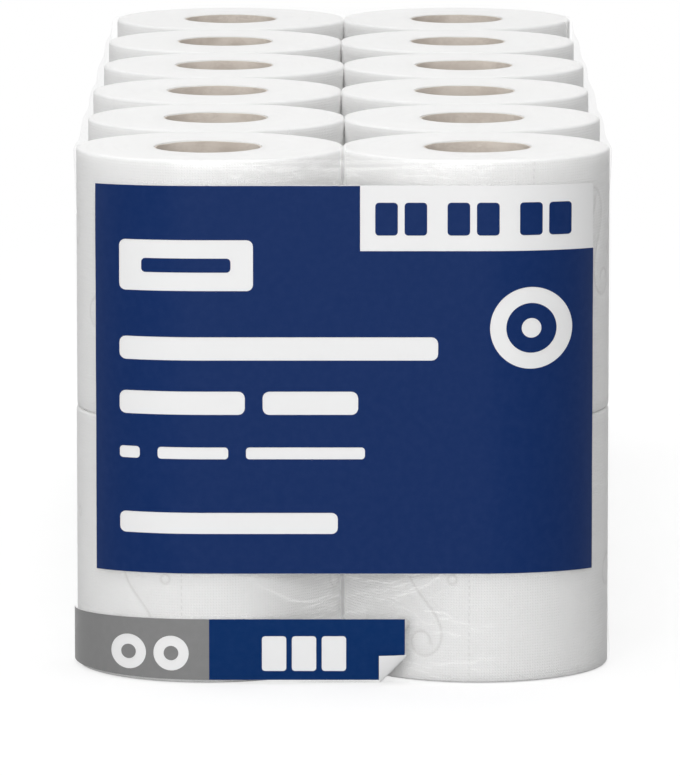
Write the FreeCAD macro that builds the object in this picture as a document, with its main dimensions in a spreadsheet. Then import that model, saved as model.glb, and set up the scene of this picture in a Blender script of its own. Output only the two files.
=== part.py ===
import FreeCAD, Part
import os
import Sketcher

# A pack of toilet paper rolls, two columns and two tiers, six rows deep, in one tight wrap of
# clear film, with a printed front label, and a printed strip low on the front whose lower
# right corner is folded over.
# Millimetres. The origin is under the middle of the pack, on the surface that it stands on.
# The labelled front faces -Y, +X is to the right seen from the front, and +Z is up.

columns = 2
rows = 6
tiers = 2
column_names = ["left", "right"]
tier_names = ["bottom", "top"]

sizes = {
    # A roll: the paper's outer size, the rounding of its rims, and the card tube in its middle
    "roll_diameter": 103.0,
    "roll_height": 101.0,
    "rim_radius": 1.2,
    "core_bore": 40.6,
    "core_wall": 0.6,
    "core_fit": 0.1,
    "core_inset": 0.4,
    # How close the rolls stand to each other
    "column_gap": 1.5,
    "row_gap": 0.4,
    "tier_gap": 0.2,
    # The film: its wall, its clearance round the rolls, and its seals
    "film_clearance": 0.3,
    "film_thickness": 0.25,
    "seal_height": 11.0,
    "seal_layers": 2.0,
    "back_lap_bottom": 34.0,
    "back_lap_height": 14.0,
    # The labels: paper on the film, ink on the paper, and the angle at which the print dips on
    # its way round the corner rolls
    "label_fit": 0.1,
    "label_thickness": 0.25,
    "ink_fit": 0.1,
    "ink_thickness": 0.15,
    "print_dip": 4.0,
    # The front label, between the top of the pack and the strip at its foot
    "label_width": 191.0,
    "label_top_margin": 9.8,
    "label_foot_gap": 17.6,
    "label_shift": 0.6,
    # White box in the label's top right corner, with pairs of navy blocks
    "number_box_width": 89.5,
    "number_box_height": 25.2,
    "number_margin": 5.8,
    "number_drop": 6.6,
    "number_width": 8.6,
    "number_height": 12.6,
    "number_pitch": 11.2,
    "number_pair_pitch": 27.6,
    # Plain white badge where the maker's sign would be, with one navy bar
    "text_margin": 9.4,
    "badge_width": 51.2,
    "badge_height": 19.6,
    "badge_drop": 21.0,
    "badge_bar_width": 34.0,
    "badge_bar_height": 5.4,
    # White bars that stand for the lines of print
    "heading_drop": 58.4,
    "heading_height": 9.0,
    "heading_width": 122.0,
    "subheading_drop": 79.4,
    "subheading_first_width": 48.0,
    "subheading_second_width": 36.6,
    "word_gap": 6.8,
    "detail_drop": 101.0,
    "detail_height": 4.6,
    "detail_first_width": 7.8,
    "detail_second_width": 27.0,
    "detail_third_width": 45.6,
    "footer_rise": 15.6,
    "footer_height": 8.2,
    "footer_width": 83.6,
    # White disc with a roll's end as its sign
    "disc_radius": 15.8,
    "disc_drop": 55.0,
    "disc_margin": 24.0,
    "sign_radius": 9.6,
    "sign_bore": 3.8,
    # The strip at the foot of the front
    "strip_top": 25.4,
    "strip_right": 23.9,
    "strip_fold": 10.0,
    "grey_right": -51.4,
    # Two rings on the grey field and three sheets on the blue one
    "symbol_height": 12.0,
    "ring_radius": 6.8,
    "ring_bore": 2.8,
    "ring_left": -82.4,
    "ring_pitch": 16.4,
    "sheet_left": -31.1,
    "sheet_width": 9.4,
    "sheet_size": 13.6,
    "sheet_pitch": 11.5,
}

doc = FreeCAD.newDocument("roll_pack")
sheet = doc.addObject("Spreadsheet::Sheet", "sizes")
for line, (alias, number) in enumerate(sizes.items(), 1):
    sheet.set(f"A{line}", alias)
    sheet.set(f"B{line}", str(number))
    sheet.setAlias(f"B{line}", alias)
doc.recompute()

# Lengths that follow from the sizes, as expressions
column_pitch = "(sizes.roll_diameter + sizes.column_gap)"
row_pitch = "(sizes.roll_diameter + sizes.row_gap)"
tier_pitch = "(sizes.roll_height + sizes.tier_gap)"
roll_radius = "(sizes.roll_diameter / 2)"
core_radius = "(sizes.core_bore / 2 + sizes.core_wall)"
inner_half_width = f"({column_pitch} * {(columns - 1) / 2} + {roll_radius} + sizes.film_clearance)"
inner_half_length = f"({row_pitch} * {(rows - 1) / 2} + {roll_radius} + sizes.film_clearance)"
inner_corner = f"({roll_radius} + sizes.film_clearance)"
inner_height = f"({tier_pitch} * {tiers - 1} + sizes.roll_height + sizes.film_clearance)"
inner_bend = "(sizes.rim_radius + sizes.film_clearance)"
pack_height = f"({inner_height} + 2 * sizes.film_thickness)"
film_bend = f"({inner_bend} + sizes.film_thickness)"
side_wall = f"({inner_half_width} + sizes.film_thickness)"
front_wall = f"({inner_half_length} + sizes.film_thickness)"
side_flat = f"({inner_half_length} - {inner_corner})"
paper_face = "(sizes.label_fit + sizes.label_thickness)"
ink_back = f"({paper_face} + sizes.ink_fit)"
ink_face = f"({ink_back} + sizes.ink_thickness)"


def bind(thing, expressions):
    for name, text in expressions.items():
        thing.setExpression(name, text)


def origin_plane(body, role):
    for plane in body.Origin.OriginFeatures:
        if plane.Role == role:
            return plane


def new_sketch(body, name, role):
    sketch = body.newObject("Sketcher::SketchObject", name)
    sketch.AttachmentSupport = [(origin_plane(body, role), "")]
    sketch.MapMode = "FlatFace"
    return sketch


def named_constraint(sketch, name, text, *constraint):
    number = sketch.addConstraint(Sketcher.Constraint(*constraint))
    sketch.renameConstraint(number, name)
    sketch.setExpression(f"Constraints.{name}", text)


def polygon(sketch, corners):
    # Straight lines from corner to corner, joined end to end and closed
    points = [FreeCAD.Vector(across, up, 0) for across, up in corners]
    count = len(points)
    for i in range(count):
        sketch.addGeometry(Part.LineSegment(points[i], points[(i + 1) % count]), False)
    for i in range(count):
        sketch.addConstraint(Sketcher.Constraint("Coincident", i, 2, (i + 1) % count, 1))


def ring_body(label, outer_diameter, bore, height, rim=None):
    # A tube on the XY plane: a padded ring, its outer rims rounded where a rim is given
    body = doc.addObject("PartDesign::Body", label)
    body.Label = label
    sketch = new_sketch(body, f"{label}_section", "XY_Plane")
    for name, text in (("outer", outer_diameter), ("bore", bore)):
        start_radius = sizes["roll_diameter"] / 2 if name == "outer" else sizes["core_bore"] / 2
        circle = Part.Circle(FreeCAD.Vector(), FreeCAD.Vector(0, 0, 1), start_radius)
        number = sketch.addGeometry(circle, False)
        sketch.addConstraint(Sketcher.Constraint("Coincident", number, 3, -1, 1))
        named_constraint(sketch, name, text, "Diameter", number, 2 * start_radius)
    pad = body.newObject("PartDesign::Pad", f"{label}_turns")
    pad.Profile = sketch
    bind(pad, {"Length": height})
    if rim:
        doc.recompute()
        outer = max(edge.BoundBox.XMax for edge in pad.Shape.Edges)
        rims = [
            f"Edge{i}"
            for i, edge in enumerate(pad.Shape.Edges, 1)
            if isinstance(edge.Curve, Part.Circle) and edge.BoundBox.XMax > outer - 1e-6
        ]
        fillet = body.newObject("PartDesign::Fillet", f"{label}_rims")
        fillet.Base = (pad, rims)
        bind(fillet, {"Radius": rim})
    return body


def block_body(label, half_width, half_length, corner, bottom, height, bend=None):
    # An upright block with round corners that follow the corner rolls, centred on the pack
    body = doc.addObject("PartDesign::Body", label)
    body.Label = label
    sketch = new_sketch(body, f"{label}_outline", "XY_Plane")
    across = sizes["roll_diameter"] * columns / 2
    along = sizes["roll_diameter"] * rows / 2
    polygon(sketch, [(-across, -along), (across, -along), (across, along), (-across, along)])
    for i, direction in enumerate(("Horizontal", "Vertical", "Horizontal", "Vertical")):
        sketch.addConstraint(Sketcher.Constraint(direction, i))
    sketch.addConstraint(Sketcher.Constraint("Symmetric", 0, 1, 1, 2, -1, 1))
    named_constraint(sketch, "width", f"2 * {half_width}", "DistanceX", 0, 1, 0, 2, 2 * across)
    named_constraint(sketch, "length", f"2 * {half_length}", "DistanceY", 1, 1, 1, 2, 2 * along)
    pad = body.newObject("PartDesign::Pad", f"{label}_height")
    pad.Profile = sketch
    bind(pad, {"Length": height})
    bind(body, {"Placement.Base.z": bottom})
    doc.recompute()
    uprights = [
        f"Edge{i}"
        for i, edge in enumerate(pad.Shape.Edges, 1)
        if edge.BoundBox.ZLength > 1e-6
    ]
    corners = body.newObject("PartDesign::Fillet", f"{label}_corners")
    corners.Base = (pad, uprights)
    bind(corners, {"Radius": corner})
    if bend:
        doc.recompute()
        level = [
            f"Edge{i}"
            for i, edge in enumerate(corners.Shape.Edges, 1)
            if edge.BoundBox.ZLength < 1e-6
        ]
        bends = body.newObject("PartDesign::Fillet", f"{label}_bends")
        bends.Base = (corners, level)
        bind(bends, {"Radius": bend})
    return body


def grown_block(label, growth, bottom, height):
    # The film's outline, larger by a growth all round
    return block_body(
        label,
        f"({side_wall} + {growth})",
        f"({front_wall} + {growth})",
        f"({inner_corner} + sizes.film_thickness + {growth})",
        bottom,
        height,
    )


def boolean(kind, label, first, second):
    thing = doc.addObject(f"Part::{kind}", label)
    thing.Label = label
    thing.Base = first
    thing.Tool = second
    return thing


def fused(label, pieces):
    thing = doc.addObject("Part::MultiFuse", label)
    thing.Label = label
    thing.Shapes = pieces
    return thing


# Rolls: each one is the paper wound on its own card tube
nodes = []
for tier in range(tiers):
    for row in range(rows):
        for column in range(columns):
            place = {
                "Placement.Base.x": f"{column_pitch} * {column - (columns - 1) / 2}",
                "Placement.Base.y": f"{row_pitch} * {row - (rows - 1) / 2}",
                "Placement.Base.z": f"sizes.film_thickness + {tier_pitch} * {tier}",
            }
            name = f"{tier_names[tier]}_row{row + 1}_{column_names[column]}"
            roll = ring_body(
                f"roll_{name}",
                "sizes.roll_diameter",
                f"2 * ({core_radius} + sizes.core_fit)",
                "sizes.roll_height",
                "sizes.rim_radius",
            )
            bind(roll, place)
            core = ring_body(
                f"core_{name}",
                f"2 * {core_radius}",
                "sizes.core_bore",
                "sizes.roll_height - 2 * sizes.core_inset",
            )
            place["Placement.Base.z"] += " + sizes.core_inset"
            bind(core, place)
            nodes += [roll, core]

# Film: a closed skin that is tight round the corner rolls and bends over their rims
film_outside = block_body(
    "film_outside",
    side_wall,
    front_wall,
    f"({inner_corner} + sizes.film_thickness)",
    "0",
    pack_height,
    film_bend,
)
film_inside = block_body(
    "film_inside",
    inner_half_width,
    inner_half_length,
    inner_corner,
    "sizes.film_thickness",
    inner_height,
    inner_bend,
)


def folded_end(label, out):
    # The film's top and bottom flaps on a long side: full length at the pack's edges, and
    # drawn in at 45 degrees towards the seal at half height
    body = doc.addObject("PartDesign::Body", label)
    body.Label = label
    sketch = new_sketch(body, f"{label}_outline", "YZ_Plane")
    low = sizes["rim_radius"]
    high = sizes["roll_height"] * tiers
    middle = (low + high) / 2
    wide = sizes["roll_diameter"] * (rows - 1) / 2
    narrow = wide - middle
    polygon(
        sketch,
        [(-wide, low), (wide, low), (narrow, middle), (wide, high), (-wide, high), (-narrow, middle)],
    )
    for i in (0, 3):
        sketch.addConstraint(Sketcher.Constraint("Symmetric", i, 1, i, 2, -2))
    sketch.addConstraint(Sketcher.Constraint("Symmetric", 1, 2, 4, 2, -2))
    named_constraint(sketch, "low", film_bend, "DistanceY", -1, 1, 0, 1, low)
    named_constraint(sketch, "high", f"{pack_height} - {film_bend}", "DistanceY", -1, 1, 3, 1, high)
    named_constraint(sketch, "middle", f"{pack_height} / 2", "DistanceY", -1, 1, 1, 2, middle)
    named_constraint(sketch, "bottom_reach", f"2 * {side_flat}", "DistanceX", 0, 1, 0, 2, 2 * wide)
    named_constraint(sketch, "top_reach", f"2 * {side_flat}", "DistanceX", 3, 2, 3, 1, 2 * wide)
    tips = f"2 * ({side_flat} - {pack_height} / 2 + {film_bend})"
    named_constraint(sketch, "tips", tips, "DistanceX", 4, 2, 1, 2, 2 * narrow)
    pad = body.newObject("PartDesign::Pad", f"{label}_flap")
    pad.Profile = sketch
    bind(pad, {"Length": "2 * sizes.film_thickness"})
    bind(body, {"Placement.Base.x": f"{out} * {side_wall} - sizes.film_thickness"})
    return body


def side_seal(label, out):
    # The fin where the two flaps are welded, pressed flat against the side
    fin = doc.addObject("Part::Box", label)
    fin.Label = label
    half_length = f"({side_flat} - {pack_height} / 2 + {film_bend})"
    proud = "((1 + sizes.seal_layers) * sizes.film_thickness)"
    bind(fin, {
        "Length": f"2 * {proud}",
        "Width": f"2 * {half_length}",
        "Height": "sizes.seal_height",
        "Placement.Base.x": f"{out} * {side_wall} - {proud}",
        "Placement.Base.y": f"-{half_length}",
        "Placement.Base.z": f"{pack_height} / 2 - sizes.seal_height / 2",
    })
    return fin


# The lap where the film's two edges are welded, across the back
back_band = grown_block(
    "back_band", "sizes.film_thickness", "sizes.back_lap_bottom", "sizes.back_lap_height"
)
back_half = doc.addObject("Part::Box", "back_half")
back_half.Label = "back_half"
bind(back_half, {
    "Length": f"4 * {side_wall}",
    "Width": f"2 * {inner_corner}",
    "Height": pack_height,
    "Placement.Base.x": f"-2 * {side_wall}",
    "Placement.Base.y": side_flat,
})
back_lap = boolean("Common", "back_lap", back_band, back_half)

film_layers = fused("film_layers", [
    film_outside,
    folded_end("left_flaps", -1),
    folded_end("right_flaps", 1),
    side_seal("left_seal", -1),
    side_seal("right_seal", 1),
    back_lap,
])
film_wrap = boolean("Cut", "film_wrap", film_layers, film_inside)
nodes.append(film_wrap)

# Labels: a skin of paper on the film with a skin of ink on the paper, cut to shape by tools
# that run in from the front and dip on the way
skin_height = f"({pack_height} - 2 * {film_bend})"


def skin(label, back, face):
    # A layer over the film's upright walls, between two distances from them
    return boolean(
        "Cut",
        label,
        grown_block(f"{label}_face", face, film_bend, skin_height),
        grown_block(f"{label}_back", back, film_bend, skin_height),
    )


paper_skin = skin("paper_skin", "sizes.label_fit", paper_face)
ink_skin = skin("ink_skin", ink_back, ink_face)

tool_run = 30.0
tool_depth = f"({tool_run} + {inner_corner})"
dip_back = f"({tool_run} * cos(sizes.print_dip * 1 deg))"
dip_rise = f"({tool_run} * sin(sizes.print_dip * 1 deg))"
dip_axis = FreeCAD.Vector(-1, 0, 0)


def dipped(thing, start_angle, angle, across, up):
    # Puts a tool in front of the pack, aimed so that it meets the front wall at (across, up)
    thing.Placement = FreeCAD.Placement(
        FreeCAD.Vector(), FreeCAD.Rotation(dip_axis, start_angle)
    )
    bind(thing, {
        "Placement.Rotation.Angle": angle,
        "Placement.Base.x": across,
        "Placement.Base.y": f"-({front_wall}) - {dip_back}",
        "Placement.Base.z": f"{up} + {dip_rise}",
    })


def bar_tool(label, left, bottom, width, height):
    tool = doc.addObject("Part::Box", label)
    tool.Label = label
    bind(tool, {
        "Length": width,
        "Width": tool_depth,
        "Height": f"({height}) * cos(sizes.print_dip * 1 deg)",
    })
    dipped(tool, sizes["print_dip"], "sizes.print_dip", left, bottom)
    return tool


def disc_tool(label, across, up, radius):
    tool = doc.addObject("Part::Cylinder", label)
    tool.Label = label
    bind(tool, {"Radius": radius, "Height": tool_depth})
    dipped(tool, 90 + sizes["print_dip"], "90 + sizes.print_dip", across, up)
    return tool


def roll_sign(label, across, up, radius, bore):
    # A roll seen from its end: a disc with a hole
    disc = disc_tool(f"{label}_disc", across, up, radius)
    hole = disc_tool(f"{label}_hole", across, up, bore)
    return boolean("Cut", label, disc, hole)


label_left = "(sizes.label_shift - sizes.label_width / 2)"
label_right = "(sizes.label_shift + sizes.label_width / 2)"
label_top = f"({pack_height} - sizes.label_top_margin)"
label_bottom = "(sizes.strip_top + sizes.label_foot_gap)"
text_left = f"({label_left} + sizes.text_margin)"

# The front label's outline
label_tool = bar_tool(
    "label_tool", label_left, label_bottom, "sizes.label_width", f"{label_top} - {label_bottom}"
)
front_label = boolean("Common", "front_label", paper_skin, label_tool)
nodes.append(front_label)

# What is left white in the label's navy ink
number_box_left = f"({label_right} - sizes.number_box_width)"
number_box = bar_tool(
    "number_box",
    number_box_left,
    f"{label_top} - sizes.number_box_height",
    "sizes.number_box_width + 1",
    "sizes.number_box_height + 1",
)
badge_bottom = f"({label_top} - sizes.badge_drop - sizes.badge_height)"
badge = bar_tool("badge", text_left, badge_bottom, "sizes.badge_width", "sizes.badge_height")
disc_across = f"({label_right} - sizes.disc_margin)"
disc_up = f"({label_top} - sizes.disc_drop)"
disc = disc_tool("disc", disc_across, disc_up, "sizes.disc_radius")


def text_line(label, bottom, height, widths):
    # One bar for each word, from the left margin on
    bars = []
    left = text_left
    for i, width in enumerate(widths, 1):
        bars.append(bar_tool(f"{label}_{i}", left, bottom, width, height))
        left = f"({left} + {width} + sizes.word_gap)"
    return bars


white_print = [number_box, badge, disc]
white_print += text_line(
    "heading",
    f"{label_top} - sizes.heading_drop - sizes.heading_height",
    "sizes.heading_height",
    ["sizes.heading_width"],
)
white_print += text_line(
    "subheading",
    f"{label_top} - sizes.subheading_drop - sizes.heading_height",
    "sizes.heading_height",
    ["sizes.subheading_first_width", "sizes.subheading_second_width"],
)
white_print += text_line(
    "detail",
    f"{label_top} - sizes.detail_drop - sizes.detail_height",
    "sizes.detail_height",
    ["sizes.detail_first_width", "sizes.detail_second_width", "sizes.detail_third_width"],
)
white_print += text_line(
    "footer",
    f"{label_bottom} + sizes.footer_rise",
    "sizes.footer_height",
    ["sizes.footer_width"],
)

# Navy print inside the white places: pairs of blocks, the badge's bar and the roll's sign
navy_inside = [
    bar_tool(
        "badge_bar",
        f"{text_left} + (sizes.badge_width - sizes.badge_bar_width) / 2",
        f"{badge_bottom} + (sizes.badge_height - sizes.badge_bar_height) / 2",
        "sizes.badge_bar_width",
        "sizes.badge_bar_height",
    ),
    roll_sign("roll_sign", disc_across, disc_up, "sizes.sign_radius", "sizes.sign_bore"),
]
for pair in range(3):
    for half in range(2):
        left = f"sizes.number_margin + sizes.number_pair_pitch * {pair} + sizes.number_pitch * {half}"
        navy_inside.append(bar_tool(
            f"number_{2 * pair + half + 1}",
            f"{number_box_left} + {left}",
            f"{label_top} - sizes.number_drop - sizes.number_height",
            "sizes.number_width",
            "sizes.number_height",
        ))

label_ink = boolean("Common", "label_ink", ink_skin, label_tool)
navy_field = boolean("Cut", "navy_field", label_ink, fused("white_print", white_print))
navy_signs = boolean("Common", "navy_signs", ink_skin, fused("navy_inside", navy_inside))
navy_print = fused("front_label_navy_print", [navy_field, navy_signs])
nodes.append(navy_print)

# The strip at the foot: its lower right corner is folded up over its face
strip_bottom = film_bend
fold_left = "(sizes.strip_right - sizes.strip_fold)"
fold_top = f"({strip_bottom} + sizes.strip_fold)"
overrun = 1.0


def front_prism(label, corners):
    # A prism that runs in from the front, its corners given by named expressions with the
    # rough place where the drawing starts
    body = doc.addObject("PartDesign::Body", label)
    body.Label = label
    sketch = new_sketch(body, f"{label}_outline", "XZ_Plane")
    polygon(sketch, [start for across, up, start in corners])
    for i, (across, up, start) in enumerate(corners):
        named_constraint(sketch, f"across_{i}", across, "DistanceX", -1, 1, i, 1, start[0])
        named_constraint(sketch, f"up_{i}", up, "DistanceY", -1, 1, i, 1, start[1])
    pad = body.newObject("PartDesign::Pad", f"{label}_run")
    pad.Profile = sketch
    pad.Reversed = True
    return body, pad


strip_end = f"(-{side_wall} - {overrun})"
far_left = -sizes["roll_diameter"] - overrun
fold_start = sizes["strip_right"] - sizes["strip_fold"]
strip_tool, strip_run = front_prism("strip_tool", [
    (strip_end, f"{strip_bottom} - {overrun}", (far_left, 0.0)),
    (f"{fold_left} - {overrun}", f"{strip_bottom} - {overrun}", (fold_start, 0.0)),
    ("sizes.strip_right", fold_top, (sizes["strip_right"], sizes["strip_fold"])),
    ("sizes.strip_right", "sizes.strip_top", (sizes["strip_right"], sizes["strip_top"])),
    (strip_end, "sizes.strip_top", (far_left, sizes["strip_top"])),
])
bind(strip_run, {"Length": tool_depth})
dipped(strip_tool, sizes["print_dip"], "sizes.print_dip", "0", "0")

folded_corner, corner_run = front_prism("folded_corner", [
    (fold_left, strip_bottom, (fold_start, 0.0)),
    ("sizes.strip_right", fold_top, (sizes["strip_right"], sizes["strip_fold"])),
    (fold_left, fold_top, (fold_start, sizes["strip_fold"])),
])
corner_face = f"({ink_face} + sizes.label_thickness)"
corner_root = "(sizes.label_fit + sizes.label_thickness / 2)"
bind(corner_run, {"Length": f"{corner_face} - {corner_root}"})
bind(folded_corner, {"Placement.Base.y": f"-({front_wall} + {corner_face})"})

strip_paper = boolean("Common", "strip_paper", paper_skin, strip_tool)
count_strip = fused("count_strip", [strip_paper, folded_corner])
nodes.append(count_strip)

# Ink on the strip: a grey field and a blue one, their signs left white
strip_ink = boolean("Common", "strip_ink", ink_skin, strip_tool)
grey_tool = bar_tool(
    "grey_tool",
    strip_end,
    f"-{overrun}",
    f"sizes.grey_right - {strip_end}",
    f"sizes.strip_top + 2 * {overrun}",
)
rings = [
    roll_sign(
        f"ring_{i + 1}",
        f"sizes.ring_left + sizes.ring_pitch * {i}",
        "sizes.symbol_height",
        "sizes.ring_radius",
        "sizes.ring_bore",
    )
    for i in range(2)
]
sheets = [
    bar_tool(
        f"sheet_{i + 1}",
        f"sizes.sheet_left + sizes.sheet_pitch * {i}",
        "sizes.symbol_height - sizes.sheet_size / 2",
        "sizes.sheet_width",
        "sizes.sheet_size",
    )
    for i in range(3)
]
grey_field = boolean("Common", "grey_field", strip_ink, grey_tool)
grey_print = boolean("Cut", "count_strip_grey_print", grey_field, fused("rings", rings))
blue_field = boolean("Cut", "blue_field", strip_ink, grey_tool)
blue_gaps = fused("blue_gaps", sheets + [folded_corner])
blue_print = boolean("Cut", "count_strip_blue_print", blue_field, blue_gaps)
nodes += [grey_print, blue_print]

doc.recompute()

# Everything has to be whole before anything is written
for thing in doc.Objects:
    if "Invalid" in thing.State or "Error" in thing.State:
        raise RuntimeError(f"{thing.Label} did not build: {thing.State}")
for node in nodes:
    if node.Shape.isNull() or not node.Shape.isValid() or not node.Shape.Solids:
        raise RuntimeError(f"{node.Label} has no sound shape")

os.makedirs("parts", exist_ok=True)
for node in nodes:
    node.Shape.exportStep(f"parts/{node.Label}.step")
print(len(nodes), "parts written")
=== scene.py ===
import math
import bmesh
import bpy
import numpy as np
from mathutils.geometry import delaunay_2d_cdt
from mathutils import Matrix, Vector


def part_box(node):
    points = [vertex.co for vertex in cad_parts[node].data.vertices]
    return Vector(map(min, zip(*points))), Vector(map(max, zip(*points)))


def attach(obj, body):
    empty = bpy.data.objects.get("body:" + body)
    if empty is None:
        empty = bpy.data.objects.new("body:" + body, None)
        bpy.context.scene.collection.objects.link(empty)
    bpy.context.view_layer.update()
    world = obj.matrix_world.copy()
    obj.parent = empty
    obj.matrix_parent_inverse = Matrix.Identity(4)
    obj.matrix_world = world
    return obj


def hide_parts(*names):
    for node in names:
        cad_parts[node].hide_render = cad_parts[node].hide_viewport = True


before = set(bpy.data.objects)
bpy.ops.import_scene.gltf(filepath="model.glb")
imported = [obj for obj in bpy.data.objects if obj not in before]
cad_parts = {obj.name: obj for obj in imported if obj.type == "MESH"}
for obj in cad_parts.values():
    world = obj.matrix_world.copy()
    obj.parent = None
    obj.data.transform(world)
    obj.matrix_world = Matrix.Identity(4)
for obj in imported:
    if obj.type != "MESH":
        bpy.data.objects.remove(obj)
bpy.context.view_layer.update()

mm = 0.001  # shapes are worked out in millimetres and written in metres
pi = math.pi

# The camera stands in front of the pack, a little above it and far off
cameraPlace = {
    "aside": -1.05,
    "away": 3241.3,
    "height": 539.1,
    "pitch": 8.231,
    "lens": 358.9,
}


def placeCamera():
    data = bpy.data.cameras.new("camera")
    data.lens = cameraPlace["lens"]
    data.sensor_width = 36.0
    data.clip_end = 60.0
    camera = bpy.data.objects.new("camera", data)
    bpy.context.scene.collection.objects.link(camera)
    camera.location = (
        cameraPlace["aside"] * mm,
        -cameraPlace["away"] * mm,
        cameraPlace["height"] * mm,
    )
    camera.rotation_euler = (math.radians(90 - cameraPlace["pitch"]), 0.0, 0.0)
    bpy.context.scene.camera = camera


placeCamera()
print("camera placed")


# Sizes read from the frame, in millimetres
def nodeBox(name):
    low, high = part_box(name)
    return np.array(low) / mm, np.array(high) / mm


wrapLow, wrapHigh = nodeBox("film_wrap")
firstLow, firstHigh = nodeBox("roll_bottom_row1_left")
rollRadius = (firstHigh[0] - firstLow[0]) / 2
rollHeight = firstHigh[2] - firstLow[2]
coreLow, coreHigh = nodeBox("core_bottom_row1_left")
coreRadius = (coreHigh[0] - coreLow[0]) / 2
halfGap = -firstHigh[0]  # from a roll to the middle line between the two columns
filmGap = 0.55  # from a corner roll to the film's face
wallX = firstLow[0] * -1 + filmGap
wallY = firstLow[1] * -1 + filmGap
corner = rollRadius + filmGap
flatX = wallX - corner
flatY = wallY - corner
packTop = wrapHigh[2]


# Mesh building
def addPiece(name, points, faces, materials, stands=(), attributes=None, sharp=40):
    # points in millimetres, faces a list of index arrays of 3 or 4 columns, attributes a
    # value or a vector at each point
    mesh = bpy.data.meshes.new(name)
    loops = np.concatenate([part.ravel() for part in faces]).astype(np.int32)
    sides = np.concatenate([np.full(len(part), part.shape[1]) for part in faces])
    starts = np.concatenate([[0], np.cumsum(sides)[:-1]]).astype(np.int32)
    mesh.vertices.add(len(points))
    mesh.vertices.foreach_set("co", (points * mm).astype(np.float32).ravel())
    mesh.loops.add(len(loops))
    mesh.loops.foreach_set("vertex_index", loops)
    mesh.polygons.add(len(starts))
    mesh.polygons.foreach_set("loop_start", starts)
    mesh.update(calc_edges=True)
    for key, values in (attributes or {}).items():
        values = np.asarray(values, dtype=np.float32)
        if values.ndim == 2:
            layer = mesh.attributes.new(key, "FLOAT_VECTOR", "POINT")
            layer.data.foreach_set("vector", values.ravel())
        else:
            layer = mesh.attributes.new(key, "FLOAT", "POINT")
            layer.data.foreach_set("value", values)
    solid = bmesh.new()
    solid.from_mesh(mesh)
    bmesh.ops.remove_doubles(solid, verts=solid.verts, dist=1e-6)
    bmesh.ops.dissolve_degenerate(solid, dist=1e-7, edges=solid.edges)
    solid.to_mesh(mesh)
    solid.free()
    mesh.shade_smooth()
    mesh.set_sharp_from_angle(angle=math.radians(sharp))
    for material in materials:
        mesh.materials.append(material)
    piece = bpy.data.objects.new(name, mesh)
    bpy.context.scene.collection.objects.link(piece)
    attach(piece, "root")
    if stands:
        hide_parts(*stands)
    return piece


def gridFaces(rows, columns, loop=False):
    # Quads between neighbouring points of a grid stored row by row, closed along the row on
    # a loop
    spans = columns if loop else columns - 1
    row = np.arange(rows - 1)[:, None] * columns
    here = np.arange(spans)[None, :]
    there = (here + 1) % columns
    quads = np.stack([row + here, row + there, row + columns + there, row + columns + here], 2)
    return quads.reshape(-1, 4)


def smoothStep(low, high, x):
    # 3 t squared less 2 t cubed, with t the share of the way from low to high
    t = np.clip((x - low) / (high - low), 0, 1)
    return t * t * (3 - 2 * t)


def softNoise(seed, *coordinates, waves=7):
    # A sum of plane waves with random directions, wavelengths near one unit and random
    # phases, between about -1 and 1
    random = np.random.RandomState(seed)
    total = 0
    for _ in range(waves):
        angle = random.uniform(0, 2 * pi)
        stretch = random.uniform(0.6, 1.7)
        phase = random.uniform(0, 2 * pi)
        ways = (math.cos(angle), math.sin(angle), math.cos(1.7 * angle + 1))
        total = total + np.sin(
            2 * pi * stretch * sum(w * c for w, c in zip(ways, coordinates)) + phase
        )
    return total / math.sqrt(waves * 2)


# Node trees
def newTree(material):
    material.use_nodes = True
    material.node_tree.nodes.clear()
    return material.node_tree


def addNode(tree, kind, inputs=None, **settings):
    # A node with its settings, each input a plain value or another node's socket
    node = tree.nodes.new(kind)
    for key, value in settings.items():
        setattr(node, key, value)
    for key, value in (inputs or {}).items():
        if isinstance(value, bpy.types.NodeSocket):
            tree.links.new(value, node.inputs[key])
        else:
            node.inputs[key].default_value = value
    return node


def mathNode(tree, operation, a, b=0.0, c=0.0, clamp=False):
    node = addNode(tree, "ShaderNodeMath", {0: a, 1: b, 2: c}, operation=operation)
    node.use_clamp = clamp
    return node.outputs[0]


def mixColour(tree, share, first, second):
    node = addNode(tree, "ShaderNodeMix", data_type="RGBA")
    for key, value in ((0, share), (6, first), (7, second)):
        if isinstance(value, bpy.types.NodeSocket):
            tree.links.new(value, node.inputs[key])
        else:
            node.inputs[key].default_value = value
    return node.outputs[2]


def ramp(tree, value, low, high, outLow=0.0, outHigh=1.0):
    node = addNode(
        tree,
        "ShaderNodeMapRange",
        {"Value": value, "From Min": low, "From Max": high, "To Min": outLow, "To Max": outHigh},
        interpolation_type="SMOOTHSTEP",
    )
    return node.outputs[0]


def newGroup(name, inputs, outputs):
    group = bpy.data.node_groups.new(name, "ShaderNodeTree")
    for label, kind, value in inputs:
        socket = group.interface.new_socket(label, in_out="INPUT", socket_type=kind)
        if value is not None:
            socket.default_value = value
    for label, kind in outputs:
        group.interface.new_socket(label, in_out="OUTPUT", socket_type=kind)
    return group, group.nodes.new("NodeGroupInput"), group.nodes.new("NodeGroupOutput")


def useGroup(tree, group, inputs):
    node = tree.nodes.new("ShaderNodeGroup")
    node.node_tree = group
    for key, value in inputs.items():
        if isinstance(value, bpy.types.NodeSocket):
            tree.links.new(value, node.inputs[key])
        else:
            node.inputs[key].default_value = value
    return node


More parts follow.
